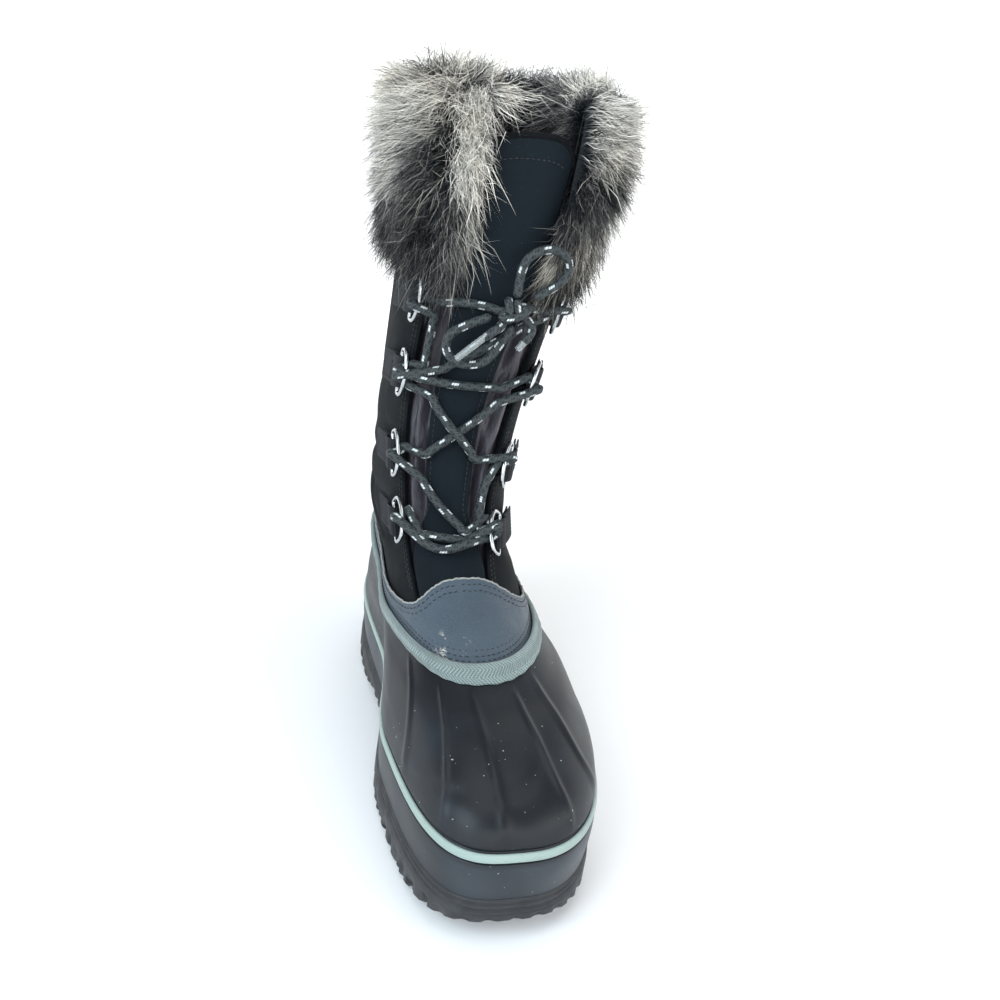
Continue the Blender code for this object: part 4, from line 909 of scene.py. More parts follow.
def sole_bottom(y):
    """Height of the tread: flat heel and forefoot, a raised arch, and the toe's spring."""
    share = -y / TOE_REACH
    front = 1.0 - smoothstep(ARCH_FRONT[1], ARCH_FRONT[0], share)
    arch = front * smoothstep(ARCH_BACK[1], ARCH_BACK[0], share)
    toe_start, toe_end = -(TOE_REACH * 0.80), -(TOE_REACH + FLANGE)
    spring = np.clip((toe_start - y) / (toe_start - toe_end), 0.0, 1.0) ** 1.6
    heel_end = HEEL_REACH + FLANGE
    heel_lift = np.clip((y - heel_end * 0.72) / (heel_end * 0.28), 0.0, 1.0) ** 2
    return ARCH_RISE * arch + TOE_SPRING * spring + HEEL_LIFT * heel_lift


def make_outsole(material):
    """Outsole with two rounded grooves round its side, scalloped lugs and a cut tread."""
    angles = all_round(SOLE_TURNS)
    feather = form(0.0, angles)
    outwards = unit(form_normal(0.0, angles) * [1.0, 1.0, 0.0])[:, :2]
    scallop = np.maximum(np.sin(distances(feather) * TAU / LUG_PITCH), 0.0) ** 0.6
    top = feather[:, 2] - GAP
    bottom = sole_bottom(feather[:, 1])
    rings = []
    for step in np.linspace(0.0, 1.0, 26):
        drop = step * GROOVED_SIDE * GROOVE_HEIGHT
        groove = sum(bell(drop, middle * GROOVE_HEIGHT, GROOVE_WIDTH) for middle in GROOVES)
        outset = FLANGE - 0.0007 * (1.0 - smoothstep(0.0, 0.0008, drop)) - GROOVE_DEPTH * groove
        rings.append(np.column_stack([feather[:, :2] + outwards * outset, top - drop]))
    start = top - GROOVED_SIDE * GROOVE_HEIGHT
    for step in np.linspace(0.08, 1.0, 12):
        outset = FLANGE + 0.0004 - 0.0010 * scallop * smoothstep(0.15, 0.5, step)
        outset = (outset - 0.0016 * smoothstep(0.86, 1.0, step))[:, None]
        rings.append(np.column_stack([feather[:, :2] + outwards * outset,
                                      start + (bottom - start) * step]))
    points = np.array(rings)
    quads, mapped = lattice(points, metres_map(points, False, True), False, True)
    j = np.arange(1, SOLE_TURNS // 2 - 1)
    for base in (0, (len(rings) - 1) * SOLE_TURNS):
        far = base + SOLE_TURNS - j
        deck = np.stack([base + j, base + j + 1, far - 1, far], axis=-1)
        quads = np.concatenate([quads, deck])
        mapped = np.concatenate([mapped, points.reshape(-1, 3)[deck][..., :2]])
    sole = quads_mesh("outsole_rubber", points.reshape(-1, 3), quads, mapped, [material])
    face_outwards(sole, fill_holes=True)
    cut_tread(sole)
    sole.data.set_sharp_from_angle(angle=math.radians(SOLE_EDGE))
    return settle(sole, "sole_rubber", "outsole")


def slot_box(y, rise, top):
    """One slot across the tread, bent into a chevron when rise isn't zero."""
    reach, low = BALL_WIDTH, -0.02
    points = []
    for z in (low, top):
        for x, lift in ((-reach, rise), (0.0, 0.0), (reach, rise)):
            points += [(x, y + lift, z), (x, y + lift + TREAD_SLOT, z)]
    faces = [(0, 6, 7, 1), (4, 5, 11, 10)]
    for k in (0, 2):
        faces += [(k, k + 1, k + 3, k + 2), (k + 6, k + 8, k + 9, k + 7),
                  (k, k + 2, k + 8, k + 6), (k + 1, k + 7, k + 9, k + 3)]
    return points, faces


def cut_tread(sole):
    """Cuts the chevrons of the forefoot and the straight slots of the heel."""
    points, faces = [], []
    rows = [(-(TOE_REACH * 0.95) + n * TREAD_PITCH, CHEVRON_RISE) for n in range(TREAD_ROWS)]
    rows += [((n + 0.5) * HEEL_PITCH - TREAD_SLOT / 2, 0.0) for n in (-2, -1, 0, 1)]
    for y, rise in rows:
        top = TREAD_DEPTH + (float(sole_bottom(y)) if rise else 0.0)
        more, sides = slot_box(y, rise, top)
        faces += [tuple(len(points) + k for k in side) for side in sides]
        points += more
    mesh = bpy.data.meshes.new("tread_cutter")
    mesh.from_pydata(points, [], faces)
    cutter = bpy.data.objects.new("tread_cutter", mesh)
    bpy.context.scene.collection.objects.link(cutter)
    face_outwards(cutter)
    modifier = sole.modifiers.new("tread", "BOOLEAN")
    modifier.operation = "DIFFERENCE"
    modifier.solver = "EXACT"
    modifier.object = cutter
    graph = bpy.context.evaluated_depsgraph_get()
    mesh = bpy.data.meshes.new_from_object(sole.evaluated_get(graph))
    sole.modifiers.clear()
    sole.data = mesh
    bpy.data.objects.remove(cutter)


def shell_relief(u, phi):
    """Ribs, the worn crease across the toe, a soft crease on each side, and the stripe's groove."""
    turn = degrees_round(phi)
    relief = np.zeros_like(turn)
    share = np.clip((u - FAN_LOW) / (FAN_TOP - FAN_LOW), 0.0, 1.0)
    fade = smoothstep(STRIPE_HIGH + 0.1, 3.9, u) * (1.0 - smoothstep(7.0, 7.6, u))
    for top, low in RIBS:
        centre = low + (top - low) * share
        relief += RIB_HEIGHT * fade * bell(turn, centre, RIB_WIDTH)
    angles, rows = zip(*TOE_CREASE)
    line = np.interp(turn, angles, rows)
    along = smoothstep(-66.0, -50.0, turn) * (1.0 - smoothstep(4.0, 26.0, turn))
    relief += along * (CREASE_LIP * bell(u, line + 0.50, 0.35)
                       - CREASE_DEPTH * bell(u, line, 0.24))
    relief += -FLEX_DEPTH * bell(u, 4.1 + (turn - 60.0) * 0.045, 0.40) * bell(turn, 78.0, 22.0)
    relief += -FLEX_DEPTH * bell(u, 4.4 - (turn + 76.0) * 0.040, 0.40) * bell(turn, -92.0, 24.0)
    recess = smoothstep(STRIPE_LOW - 0.06, STRIPE_LOW + 0.05, u) * (1.0 - smoothstep(2.95, 3.07, u))
    groove = STRIPE_GROOVE * bell(u, STRIPE_HIGH + 0.02, 0.07)
    return relief - STRIPE_RECESS * recess - groove


def make_shell(material):
    """The moulded shell, its rows closest together round the stripe."""
    rows = np.concatenate([np.linspace(0.0, 1.8, 11), np.linspace(1.88, 3.16, 25),
                           np.linspace(3.3, 7.98, 38)])
    u, phi = np.broadcast_arrays(rows[:, None], all_round(SHELL_TURNS)[None])
    outer = on_form(u, phi, shell_relief(u, phi))
    inner = on_form(u, phi, -SHELL_WALL)
    shell = walled("shell_moulding", outer, inner, [material], wrap_columns=True)
    return settle(shell, "shell_rubber", "rubber_shell")


def profile_ring(name, phi, outline, material):
    """A trim whose closed outline, rows of (section, lift), runs all round the boot."""
    points = np.array([on_form(u, phi, lift) for u, lift in outline])
    ring = surface(name, points, material, wrap_rows=True, wrap_columns=True)
    face_outwards(ring)
    ring.data.set_sharp_from_angle(angle=math.radians(TRIM_EDGE))
    return ring


def make_stripe(material):
    """The pale line: a low rounded bead in its groove."""
    low, high = STRIPE_LOW + STRIPE_EDGE, STRIPE_HIGH - STRIPE_EDGE
    middle, half = (low + high) / 2.0, (high - low) / 2.0
    bead = [(middle - half * math.cos(t), -BEAD_SINK + BEAD_HEIGHT * math.sin(t) ** 0.45)
            for t in np.linspace(0.0, math.pi, 11)]
    stripe = profile_ring("stripe_bead", all_round(STRIPE_TURNS), bead, material)
    return settle(stripe, "pale_stripe", "foxing_stripe")


def make_band(material):
    """The woven tape over the shell's top edge, its edges rounded and slightly uneven."""
    phi = all_round(BAND_TURNS)
    over = GAP + BAND_THICK
    worn = over + (0.00012 * np.sin(phi * 61.0) + 0.0001 * np.sin(phi * 23.0 + 1.0))
    lip = UPPER_OUT + 0.0028
    low, high = BAND_LOW, BAND_HIGH
    edge = 0.010 * np.sin(phi * 37.0)
    outline = [(low + edge, GAP), (low + edge, over * 0.55), (low + 0.05 + edge, worn),
               (low + 0.14, worn), (low + 0.27, worn + 0.0001), (low + 0.40, worn),
               (high - 0.05, worn - over * 0.1), (high, over * 0.4),
               (high, lip * 0.6 + over * 0.2), (high - 0.02, lip), (TOPLINE + BAND_LAP, lip),
               (TOPLINE + BAND_LAP, GAP)]
    return settle(profile_ring("topline_tape", phi, outline, material), "woven_band", "topline_band")


# Upper, leather and tongue

def overlay_top(phi):
    """Section number of the leather's wavy top edge: a wide crown in front, low at the sides."""
    turn = degrees_round(phi)
    crown = CROWN_RISE * np.exp(-(np.abs(turn - CROWN_TURN) / CROWN_WIDTH) ** CROWN_POWER)
    flank = FLANK_RISE * smoothstep(FLANK_START, FLANK_END, np.abs(turn))
    return LEATHER_EDGE + crown + flank + 0.010 * np.sin(turn * 0.9) * np.sin(turn * 0.37)


def shaft_relief(u, phi):
    """How far the shaft's fabric dips in its creases, away from the throat and the collar."""
    turn = degrees_round(phi)
    relief = np.zeros(np.broadcast(u, turn).shape)
    for row, middle, reach, depth, width, slope in SHAFT_CREASES:
        away = (turn - middle + 180.0) % 360.0 - 180.0
        along = np.exp(-(away / reach) ** 4)
        line = row + slope * np.abs(away) / reach
        relief -= depth * along * bell(u, line, width)
    clear = smoothstep(40.0, 62.0, np.abs(turn)) * (1.0 - smoothstep(15.0, 15.8, u))
    return relief * clear * smoothstep(9.0, 9.6, u)


def throat_half(u, side):
    """Distance round the surface from the front to the throat's edge on one side."""
    share = smoothstep(THROAT_BASE - 0.6, COLLAR, u)
    base, top = ((THROAT_BASE_OUTER, THROAT_TOP_OUTER) if side > 0
                 else (THROAT_BASE_INNER, THROAT_TOP_INNER))
    return base + (top - base) * share


def tongue_half(u, side):
    """Distance round the surface from the front to the tongue's edge on one side."""
    slip = TONGUE_TWIST * bell(u, 13.9, 1.7)
    margin = TONGUE_MARGIN_OUTER + slip if side > 0 else TONGUE_MARGIN_INNER - 0.2 * slip
    return throat_half(u, side) - TONGUE_GAP - margin * smoothstep(THROAT_BASE, 11.6, u)


def make_overlay(material, edge_material):
    """The leather mudguard: soft, a little swollen between its stitch rows, with a raw top edge."""
    angles = all_round(SHELL_TURNS)
    top = overlay_top(angles)
    shares = np.concatenate([np.linspace(0.0, 0.9, 22), [0.94, 0.97, 0.99, 1.0]])[:, None]
    u = TOPLINE + 0.10 + (top - TOPLINE - 0.10)[None] * shares
    phi = np.broadcast_to(angles, u.shape)
    inside = UPPER_OUT + CURVED_GAP
    sewn = sum(bell(top[None] - u, down, 0.05) for down in SEAMS_BELOW_TOP)
    sewn = sewn + bell(u, TOPLINE + 0.24, 0.04) + bell(u, TOPLINE + 0.36, 0.04)
    swell = 0.0005 * bell(shares, 0.5, 0.25) * np.ones_like(u)
    thick = LEATHER_THICK * (1.0 - 0.45 * smoothstep(0.96, 1.0, shares)) - 0.00022 * sewn + swell
    leather = walled("leather_mudguard", on_form(u, phi, inside + thick), on_form(u, phi, inside),
                     [material], wrap_columns=True)
    settle(leather, "smooth_leather", "leather_overlay")
    wobble = 0.00018 * np.sin(angles * 97.0) + 0.00014 * np.sin(angles * 41.0 + 2.0)
    route = on_form(top, angles, inside + RIM_LIFT + wobble)
    rim = tube("leather_cut_edge", route, RIM_RADIUS, edge_material, 7, closed=True)
    return settle(rim, "smooth_leather")


def make_upper(outside, lining):
    """The fabric shaft, a hollow wall with a throat, creased where the ankle bends."""
    rows = np.concatenate([np.linspace(7.6, 8.9, 6), np.linspace(9.0, COLLAR, 92)])[:, None]
    start = angle_at(rows, throat_half(rows, OUTER))
    end = TAU + angle_at(rows, -throat_half(rows, INNER))
    shares = np.linspace(0.0, 1.0, 196)[None]
    shares = np.concatenate([[0.0, 0.0015], shares[0, 1:-1], [0.9985, 1.0]])[None]
    phi = start + (end - start) * shares
    u = np.broadcast_to(rows, phi.shape)
    tuck = -0.0006 * (1.0 - smoothstep(7.9, 8.1, u))
    from_edge = np.minimum(shares, 1.0 - shares)
    rounded = -0.0006 * (1.0 - smoothstep(0.0, 0.004, from_edge)) * np.ones_like(u)
    outer = on_form(u, phi, UPPER_OUT + tuck + rounded + shaft_relief(u, phi))
    inner = on_form(u, phi, UPPER_IN + tuck + shaft_relief(u, phi))
    upper = walled("shaft_fabric", outer, inner, [outside, lining])
    return settle(upper, "shaft_fabric", "upper")


def tongue_arc(u, share):
    """Distance round from the front to a share of the tongue: -1 is its inner edge, 1 its outer."""
    return np.where(share > 0.0, tongue_half(u, OUTER), tongue_half(u, INNER)) * share


def tongue_place(u, share, lift):
    """A point of the tongue, whose low edges are tucked under the throat."""
    sunk = -0.0030 * smoothstep(0.86, 1.0, np.abs(share)) * (1.0 - smoothstep(11.2, 12.0, u))
    return on_form(u, angle_at(u, tongue_arc(u, share)), lift + sunk)


def make_tongue(material, lining, edge_material):
    """The wide tongue: nearly flat, with a bound top edge that curls a little outwards."""
    rows = np.linspace(8.7, TONGUE_TOP, 120)[:, None]
    shares = np.linspace(-1.0, 1.0, 61)[None]
    u = rows - 0.28 * np.abs(shares) ** 3 * smoothstep(COLLAR - 1.2, TONGUE_TOP, rows)
    share = np.broadcast_to(shares, u.shape)
    dents = (-0.0007 * bell(u, 11.9 + 0.5 * share, 0.30) - 0.0008 * bell(u, 13.3 - 0.4 * share, 0.35)
             - 0.0006 * bell(u, 15.2 + 0.6 * share, 0.40) - 0.0005 * bell(share, -0.35, 0.16))
    rim = -0.0007 * smoothstep(0.95, 1.0, np.abs(share))
    outer = tongue_place(u, share, UPPER_OUT + dents + rim)
    inner = tongue_place(u, share, UPPER_OUT - TONGUE_THICK + dents)
    tongue = walled("tongue_fabric", outer, inner, [material, lining])
    settle(tongue, "shaft_fabric", "tongue")
    shares = np.linspace(-0.99, 0.99, 90)
    u = TONGUE_TOP - 0.28 * np.abs(shares) ** 3
    route = tongue_place(u, shares, UPPER_OUT - 0.0008)
    bound = tube("tongue_binding", route, rounded_ends(route, 0.0017), edge_material, 10)
    return settle(bound, "shaft_fabric")


def make_gusset(name, side, node, material):
    """Thin fabric in loose pleats between the tongue's edge and the throat's edge."""
    rows = np.linspace(9.4, 16.2, 130)[:, None]
    share = np.linspace(0.0, 1.0, 64)[None]
    near, far = tongue_half(rows, side), throat_half(rows, side)
    arc = near - 0.006 + (far - near + 0.012) * share
    deep = UPPER_IN - CURVED_GAP - 0.0010
    width = np.clip((far - near) / 0.016, 0.25, 1.4)
    phase = 0.9 * np.sin(rows * 1.7 + side) + 0.35 * np.sin(rows * 4.1)
    arch = np.sin(math.pi * share)
    pleat = arch ** 1.2 * (0.5 + 0.5 * np.sin(TAU * (2.3 * share) + phase))
    second = arch * (0.5 + 0.5 * np.sin(TAU * 5.1 * share - 2.0 * phase))
    lift = deep - 0.0030 * arch + width * (PLEAT_HEIGHT * pleat ** 1.5 + SMALL_PLEAT * second)
    lift = np.minimum(lift, UPPER_OUT - 0.0006)
    under = 1.0 - np.clip(np.minimum(share, 1.0 - share) / 0.16, 0.0, 1.0)
    lift = lift * (1.0 - under) + np.minimum(lift, deep) * under
    u = np.broadcast_to(rows, arc.shape)
    phi = angle_at(u, side * arc)
    cloth = walled(name, on_form(u, phi, lift), on_form(u, phi, lift - CLOTH_THICK), [material])
    return settle(cloth, "gusset_satin", node)


# Fur

def fur_ends():
    """The angles where the cuff starts and stops, beside the tongue."""
    start, end = (float(angle_at(16.6, tongue_half(COLLAR, side) + FUR_END_GAP))
                  for side in (OUTER, INNER))
    return start, TAU - end


def fur_bottom(phi):
    """Section number of the cuff's lower edge: lowest in front, where it clears the top rings."""
    turn = np.abs(np.arctan2(np.sin(phi), np.cos(phi)))
    droop = 1.0 - smoothstep(0.5, 1.5, turn)
    top_ring = RING_ROWS[-1]
    clear = (RING_LENGTH + RING_WIRE) / 2.0 + FUR_CLEARANCE
    full = COLLAR - top_ring - clear / section_height(top_ring)
    return COLLAR - full * (FUR_BACK_SHARE + (1.0 - FUR_BACK_SHARE) * droop)


def cuff_height(phi):
    """1 where the cuff stands highest, less on the outer side of its opening."""
    return 1.0 - 0.80 * bell(degrees_round(phi), 55.0, 45.0)


def fur_place(phi, t):
    """The cuff's backing: t runs from its lower edge (0), over the top (about 0.62), to its
    lower edge inside the boot (1). Returns section numbers and lifts."""
    start, end = fur_ends()
    from_end = np.minimum(phi - start, end - phi)
    swell = 0.55 + 0.45 * smoothstep(0.0, 0.42, from_end)
    swell = swell * (1.0 + 0.08 * np.sin(17.0 * phi) + 0.05 * np.sin(7.0 * phi))
    low = fur_bottom(phi)
    span = COLLAR - low
    rise = FUR_RISE / ((COLLAR_HEIGHT - SHELL_FRONT) * 0.13) * (0.72 + 0.28 * cuff_height(phi))
    stops = np.array([0.0, 0.08, 0.24, 0.42, 0.54, 0.62, 0.70, 0.84, 0.94, 1.0])
    rows = [low, low + 0.05 * span, low + 0.30 * span, low + 0.75 * span, COLLAR + 0.30 * rise,
            COLLAR + 0.90 * rise, COLLAR + 0.72 * rise, COLLAR - 0.15, COLLAR - 0.9, COLLAR - 1.3]
    lifts = [UPPER_OUT + 0.0012, UPPER_OUT + 0.0035 * swell, UPPER_OUT + 0.0060 * swell,
             UPPER_OUT + 0.0070 * swell, UPPER_OUT + 0.0065 * swell, UPPER_OUT + 0.0010 * swell,
             UPPER_IN - 0.0015 * swell, UPPER_IN - 0.0030 * swell, UPPER_IN - 0.0020,
             UPPER_IN - 0.0012]
    t = np.broadcast_to(t, np.broadcast(phi, t).shape)
    place = np.interp(t, stops, np.arange(len(stops)))
    i = np.clip(place.astype(int), 0, len(stops) - 2)
    f = place - i
    f = f * f * (3.0 - 2.0 * f) * 0.35 + f * 0.65
    rows = np.array([np.broadcast_to(v, t.shape) for v in rows])
    lifts = np.array([np.broadcast_to(v, t.shape) for v in lifts])
    pick = np.indices(t.shape)
    here, after = (i, *pick), (i + 1, *pick)
    return rows[here] * (1 - f) + rows[after] * f, lifts[here] * (1 - f) + lifts[after] * f


def fur_paleness(phi, t):
    """How pale the hair tips are: palest along the top, dark in a patch on each lobe."""
    turn = degrees_round(phi)
    pale = 0.30 + 0.70 * smoothstep(0.34, 0.50, t) * (1.0 - smoothstep(0.65, 0.71, t))
    pale = pale + 0.20 * np.sin(turn * 0.13 + 1.0) * np.sin(t * 17.0 + turn * 0.05)
    pale = pale + 0.14 * np.sin(turn * 0.41 + t * 9.0)
    for middle, height, across, along, depth in FUR_PATCHES:
        pale = pale - depth * bell(turn, middle, across) * bell(t, height, along)
    beside_tongue = math.degrees(fur_ends()[1]) - 365.0
    pale = pale + 0.40 * bell(turn, beside_tongue, 5.0) * smoothstep(0.10, 0.30, t)
    pale = pale - 0.20 * smoothstep(0.68, 0.72, t)
    return np.clip(pale, 0.0, 1.0)


def on_cuff(phi, t):
    """Points on the cuff's backing."""
    u, lift = fur_place(phi, t)
    return on_form(u, phi, lift)


def make_fur_backing(material):
    """The cuff's short under-pile, closed at its two ends."""
    start, end = fur_ends()
    phi, t = np.meshgrid(np.linspace(start, end, 170), np.linspace(0.0, 1.0, 44))
    shares = (phi - start) / (end - start)
    u, lift = fur_place(phi, t)
    from_end = np.minimum(np.minimum(shares, 1.0 - shares) / 0.02, 1.0)
    closing = np.sqrt(1.0 - (1.0 - from_end) ** 2)
    middle = (UPPER_OUT + UPPER_IN) / 2.0
    lift = middle + (lift - middle) * (0.25 + 0.75 * closing)
    backing = surface("fur_backing", on_form(u, phi, lift), material)
    return settle(backing, "cuff_fur", "fur_cuff")


def hair_flow(phi, t):
    """The pile's lie at a place, the same for its neighbours: how far it stands out, how far it
    runs along the backing towards t = 1, and how far it leans round the boot."""
    start, end = fur_ends()
    turn = degrees_round(phi)
    top = bell(t, 0.60, 0.15)
    inside = smoothstep(0.66, 0.80, t)
    stand = 0.50 + 0.55 * top + 0.12 * np.sin(turn * 0.27 + t * 11.0) - 0.10 * inside
    along = -0.78 * (1.0 - top) * (1.0 - inside) + 0.40 * inside + 0.16 * np.sin(turn * 0.17 - t * 7.0)
    swirl = 0.34 * np.sin(turn * 0.083 + t * 5.0 + 1.0) + 0.26 * np.sin(turn * 0.21 - t * 9.0)
    edge = np.minimum(phi - start, end - phi)
    over_tongue = np.where(phi - start < end - phi, -1.0, 1.0) * (1.0 - smoothstep(0.0, 0.35, edge))
    return stand, along, swirl + 0.40 * over_tongue, top


def comb_in(points):
    """Draws in the hairs that stand far out of the cuff, so that none is a stray spike."""
    low, high = (np.array(corner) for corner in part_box("fur_cuff"))
    over = np.maximum(points - high, 0.0)
    under = np.maximum(low - points, 0.0) * [1.0, 1.0, 0.0]
    return (points - over + HAIR_REACH * np.tanh(over / HAIR_REACH)
            + under - HAIR_REACH * np.tanh(under / HAIR_REACH))


def clump_axes(phi, t):
    """Each clump's root, and the directions up the backing, round the boot and outwards."""
    root = on_cuff(phi, t)
    up = unit(on_cuff(phi, np.clip(t + CUFF_STEP, 0.0, 1.0))
              - on_cuff(phi, np.clip(t - CUFF_STEP, 0.0, 1.0)))
    round_ = unit(on_cuff(phi + CUFF_STEP, t) - root)
    return root, up, round_, unit(np.cross(round_, up))


def clump_length(phi, t, top, drawn, at_ends):
    """Each clump's length: longest along the top, shortest inside beside the tongue."""
    start, end = fur_ends()
    length = drawn * HAIR_LENGTH * (0.72 if at_ends else 1.0)
    length = length * (1.0 + 0.32 * top * cuff_height(phi)[:, None])
    near_tongue = 1.0 - smoothstep(0.10, 0.55, np.minimum(phi - start, end - phi))
    return length * (1.0 - 0.55 * near_tongue * smoothstep(0.66, 0.74, t))[:, None]


def make_hair(name, material):
    """One patch of the cuff's pile: small clumps of tapered hairs that rise, flow and droop."""
    seed, low, high, clumps, per_clump, pairs = HAIR_PATCHES[name]
    at_ends = name == PATCH_AT_ENDS
    draw = np.random.default_rng(seed)
    start, end = fur_ends()
    count = clumps * per_clump
    phi = draw.uniform(start + 0.01, end - 0.01, clumps)
    if at_ends:
        inwards = draw.uniform(0.0, 0.11, clumps)
        phi = np.where(draw.uniform(0.0, 1.0, clumps) < 0.5, start + inwards, end - inwards)
    t = draw.uniform(low, high, clumps)
    root, up, round_, out = clump_axes(phi, t)
    stand, along, swirl, top = (v[:, None] for v in hair_flow(phi, t))
    first = unit(out * (stand + draw.normal(0.0, 0.08, (clumps, 1)))
                 + up * (along + draw.normal(0.0, 0.14, (clumps, 1)))
                 + round_ * (swirl + draw.normal(0.0, 0.16, (clumps, 1))))
    length = clump_length(phi, t, top, draw.uniform(0.75, 1.10, (clumps, 1)), at_ends)
    droop = np.array([0.0, 0.0, -1.0]) * (0.34 - 0.16 * top) - out * 0.22 * (1.0 - 0.6 * top)
    droop = droop + round_ * (0.25 * np.sin(degrees_round(phi) * 0.35 + t * 6.0))[:, None]

    pick = np.repeat(np.arange(clumps), per_clump)
    spread = draw.normal(0.0, CLUMP_SPREAD, (count, 2))
    base = root[pick] + round_[pick] * spread[:, :1] + up[pick] * spread[:, 1:]
    gather = draw.uniform(0.15, 0.60, (count, 1)) * (root[pick] - base)
    own = draw.uniform(0.50, 1.08, (count, 1)) * length[pick]
    loose = 0.5 if at_ends else 1.0
    stray, curl, bend = (draw.normal(0.0, much * loose, (count, 3)) for much in (0.13, 0.24, 0.08))
    side = unit(np.cross(first[pick], draw.normal(0.0, 1.0, (count, 3))))
    thick = draw.uniform(0.7, 1.25, (count, 1)) * HAIR_WIDTH / 2.0
    stops = np.linspace(0.0, 1.0, pairs + 1)
    rows = []
    for stop in stops:
        middle = (base + gather * stop ** 1.5 + own * (first[pick] + stray) * stop
                  + own * (droop[pick] + curl) * stop ** 2
                  + own * bend * math.sin(2.2 * math.pi * stop))
        half = side * thick * (1.0 - 0.5 * stop ** 2)
        rows += [middle - half, middle + half]
    rows[-2:] = [middle]
    points = comb_in(np.stack(rows, axis=1))
    clump_pale = fur_paleness(phi, t) + draw.normal(0.0, 0.15, clumps)
    pale = clump_pale[pick] + draw.normal(0.0, 0.13, count)
    pale = np.where(draw.uniform(0.0, 1.0, count) < DARK_SHARE, DARK_TIP, np.clip(pale, 0.0, 1.0))
    return settle(hair_strips(name, points, stops, pale, material), "cuff_fur")


def hair_strips(name, points, stops, pale, material):
    """Each hair as a strip of triangles that ends in one point. Its map holds the place along
    the hair and how pale the hair's tip is."""
    each = points.shape[1]
    strip = np.array([[k + k % 2, k + 1 - k % 2, k + 2] for k in range(each - 2)])
    faces = (np.arange(len(points)) * each)[:, None, None] + strip
    mapped = np.stack([np.broadcast_to(stops[strip // 2], faces.shape),
                       np.broadcast_to(pale[:, None, None], faces.shape)], axis=-1)
    return quads_mesh(name, points.reshape(-1, 3), faces.reshape(-1, 3), mapped.reshape(-1, 3, 2),
                      [material])


# Rings, webbing and lace

def section_height(u):
    """Height of one section of the shaft's front, in metres."""
    return float(np.linalg.norm(form(u + 0.1, 0.0) - form(u - 0.1, 0.0)) / 0.2)


def webbing_point(u, side, back, lift):
    """A point behind the ring's bar by back, measured round the shaft, above the fabric."""
    arc = throat_half(u, side) + RING_SETBACK + back
    return on_facets(u, side * float(angle_at(u, arc)), UPPER_OUT + lift)


def ring_place(row, side):
    """A ring's middle, its directions up the shaft and out of it, and towards the throat."""
    half = WEBBING_WIDTH / 2.0 / section_height(row)
    low = webbing_point(row - half, side, 0.0, RING_LIFT)
    high = webbing_point(row + half, side, 0.0, RING_LIFT)
    up = unit(high - low)
    centre = (low + high) / 2.0
    forward = webbing_point(row, side, -0.003, RING_LIFT) - centre
    forward = unit(forward - up * forward.dot(up))
    out = np.cross(forward, up) * (-1.0 if side > 0 else 1.0)
    return centre, up, unit(out), forward


def make_ring(name, row, side, material):
    """A D-shaped wire ring with its bar in the webbing and its bow towards the throat."""
    centre, up, out, forward = ring_place(row, side)
    half = RING_LENGTH / 2.0
    tilt = unit(forward + out * RING_TILT)
    straight = RING_REACH * 0.35
    turns = np.linspace(0.0, math.pi, 15)
    bow = [centre + up * half * math.cos(t) + tilt * (straight + (RING_REACH - straight) * math.sin(t))
           for t in turns]
    bar = [centre - up * half * s for s in (0.94, 0.5, 0.0, -0.5, -0.94)]
    route = np.array(bow + bar)
    loop = even_route(np.concatenate([route, route[:1]]), LACE_STEP)[:-1]
    wire = tube("wire_" + name, loop, RING_WIRE / 2.0, material, closed=True)
    return settle(wire, "ring_steel", name)


def make_webbing(name, row, side, material):
    """A strap of webbing sewn flat to the shaft and folded round the ring's straight bar."""
    radius = RING_WIRE / 2.0 + 0.0008 + WEBBING_THICK / 2.0
    floor = RING_LIFT - radius
    top = floor + WEBBING_THICK + 0.0004
    turns = np.linspace(-0.5 * math.pi, -1.5 * math.pi, 11)
    path = [(WEBBING_REACH, floor), (0.016, floor), (0.010, floor), (0.004, floor)]
    path += [(radius * math.cos(t), RING_LIFT + radius * math.sin(t)) for t in turns]
    path += [(0.0030, RING_LIFT + radius * 0.80), (0.0062, top + 0.0010), (0.0085, top),
             (0.012, top), (0.017, top), (WEBBING_REACH, top)]
    path = smooth_route(np.array([(a, b, 0.0) for a, b in path]), 60)[:, :2]
    ahead = np.gradient(path, axis=0)
    ahead /= np.linalg.norm(ahead, axis=1)[:, None]
    normal = np.column_stack([-ahead[:, 1], ahead[:, 0]]) * WEBBING_THICK / 2.0
    half = WEBBING_WIDTH / 2.0 / section_height(row)
    across = np.concatenate([[-1.0, -0.95], np.linspace(-0.85, 0.85, 7), [0.95, 1.0]])
    outer, inner = [], []
    for share in across:
        thin = 0.6 + 0.4 * min(1.0, (1.0 - abs(share)) / 0.1)
        outer.append([webbing_point(row + half * share, side, a, b) for a, b in path - normal * thin])
        inner.append([webbing_point(row + half * share, side, a, b) for a, b in path + normal * thin])
    strap = walled("strap_" + name, np.array(outer), np.array(inner), [material])
    return settle(strap, "loop_webbing", name)


# The rings that the lace goes through in turn, each as its side and number. 0 is the knot
LACE_CHAIN = ((INNER, 0), (INNER, 4), (INNER, 3), (OUTER, 3), (INNER, 2), (OUTER, 1), (INNER, 1),
              (OUTER, 1), (OUTER, 2), (INNER, 3), (OUTER, 4), (OUTER, 0))
# How far each run bows up or down between its ends, in sections
LACE_BOWS = (0.05, 0.0, 0.0, 0.0, 0.0, 0.10, -0.14, 0.0, 0.0, 0.0, 0.0)


def lace_point(u, arc, lift):
    """A point above the fabric: section number, distance round from the front, lift."""
    return on_facets(u, float(angle_at(u, arc)), UPPER_OUT + lift)


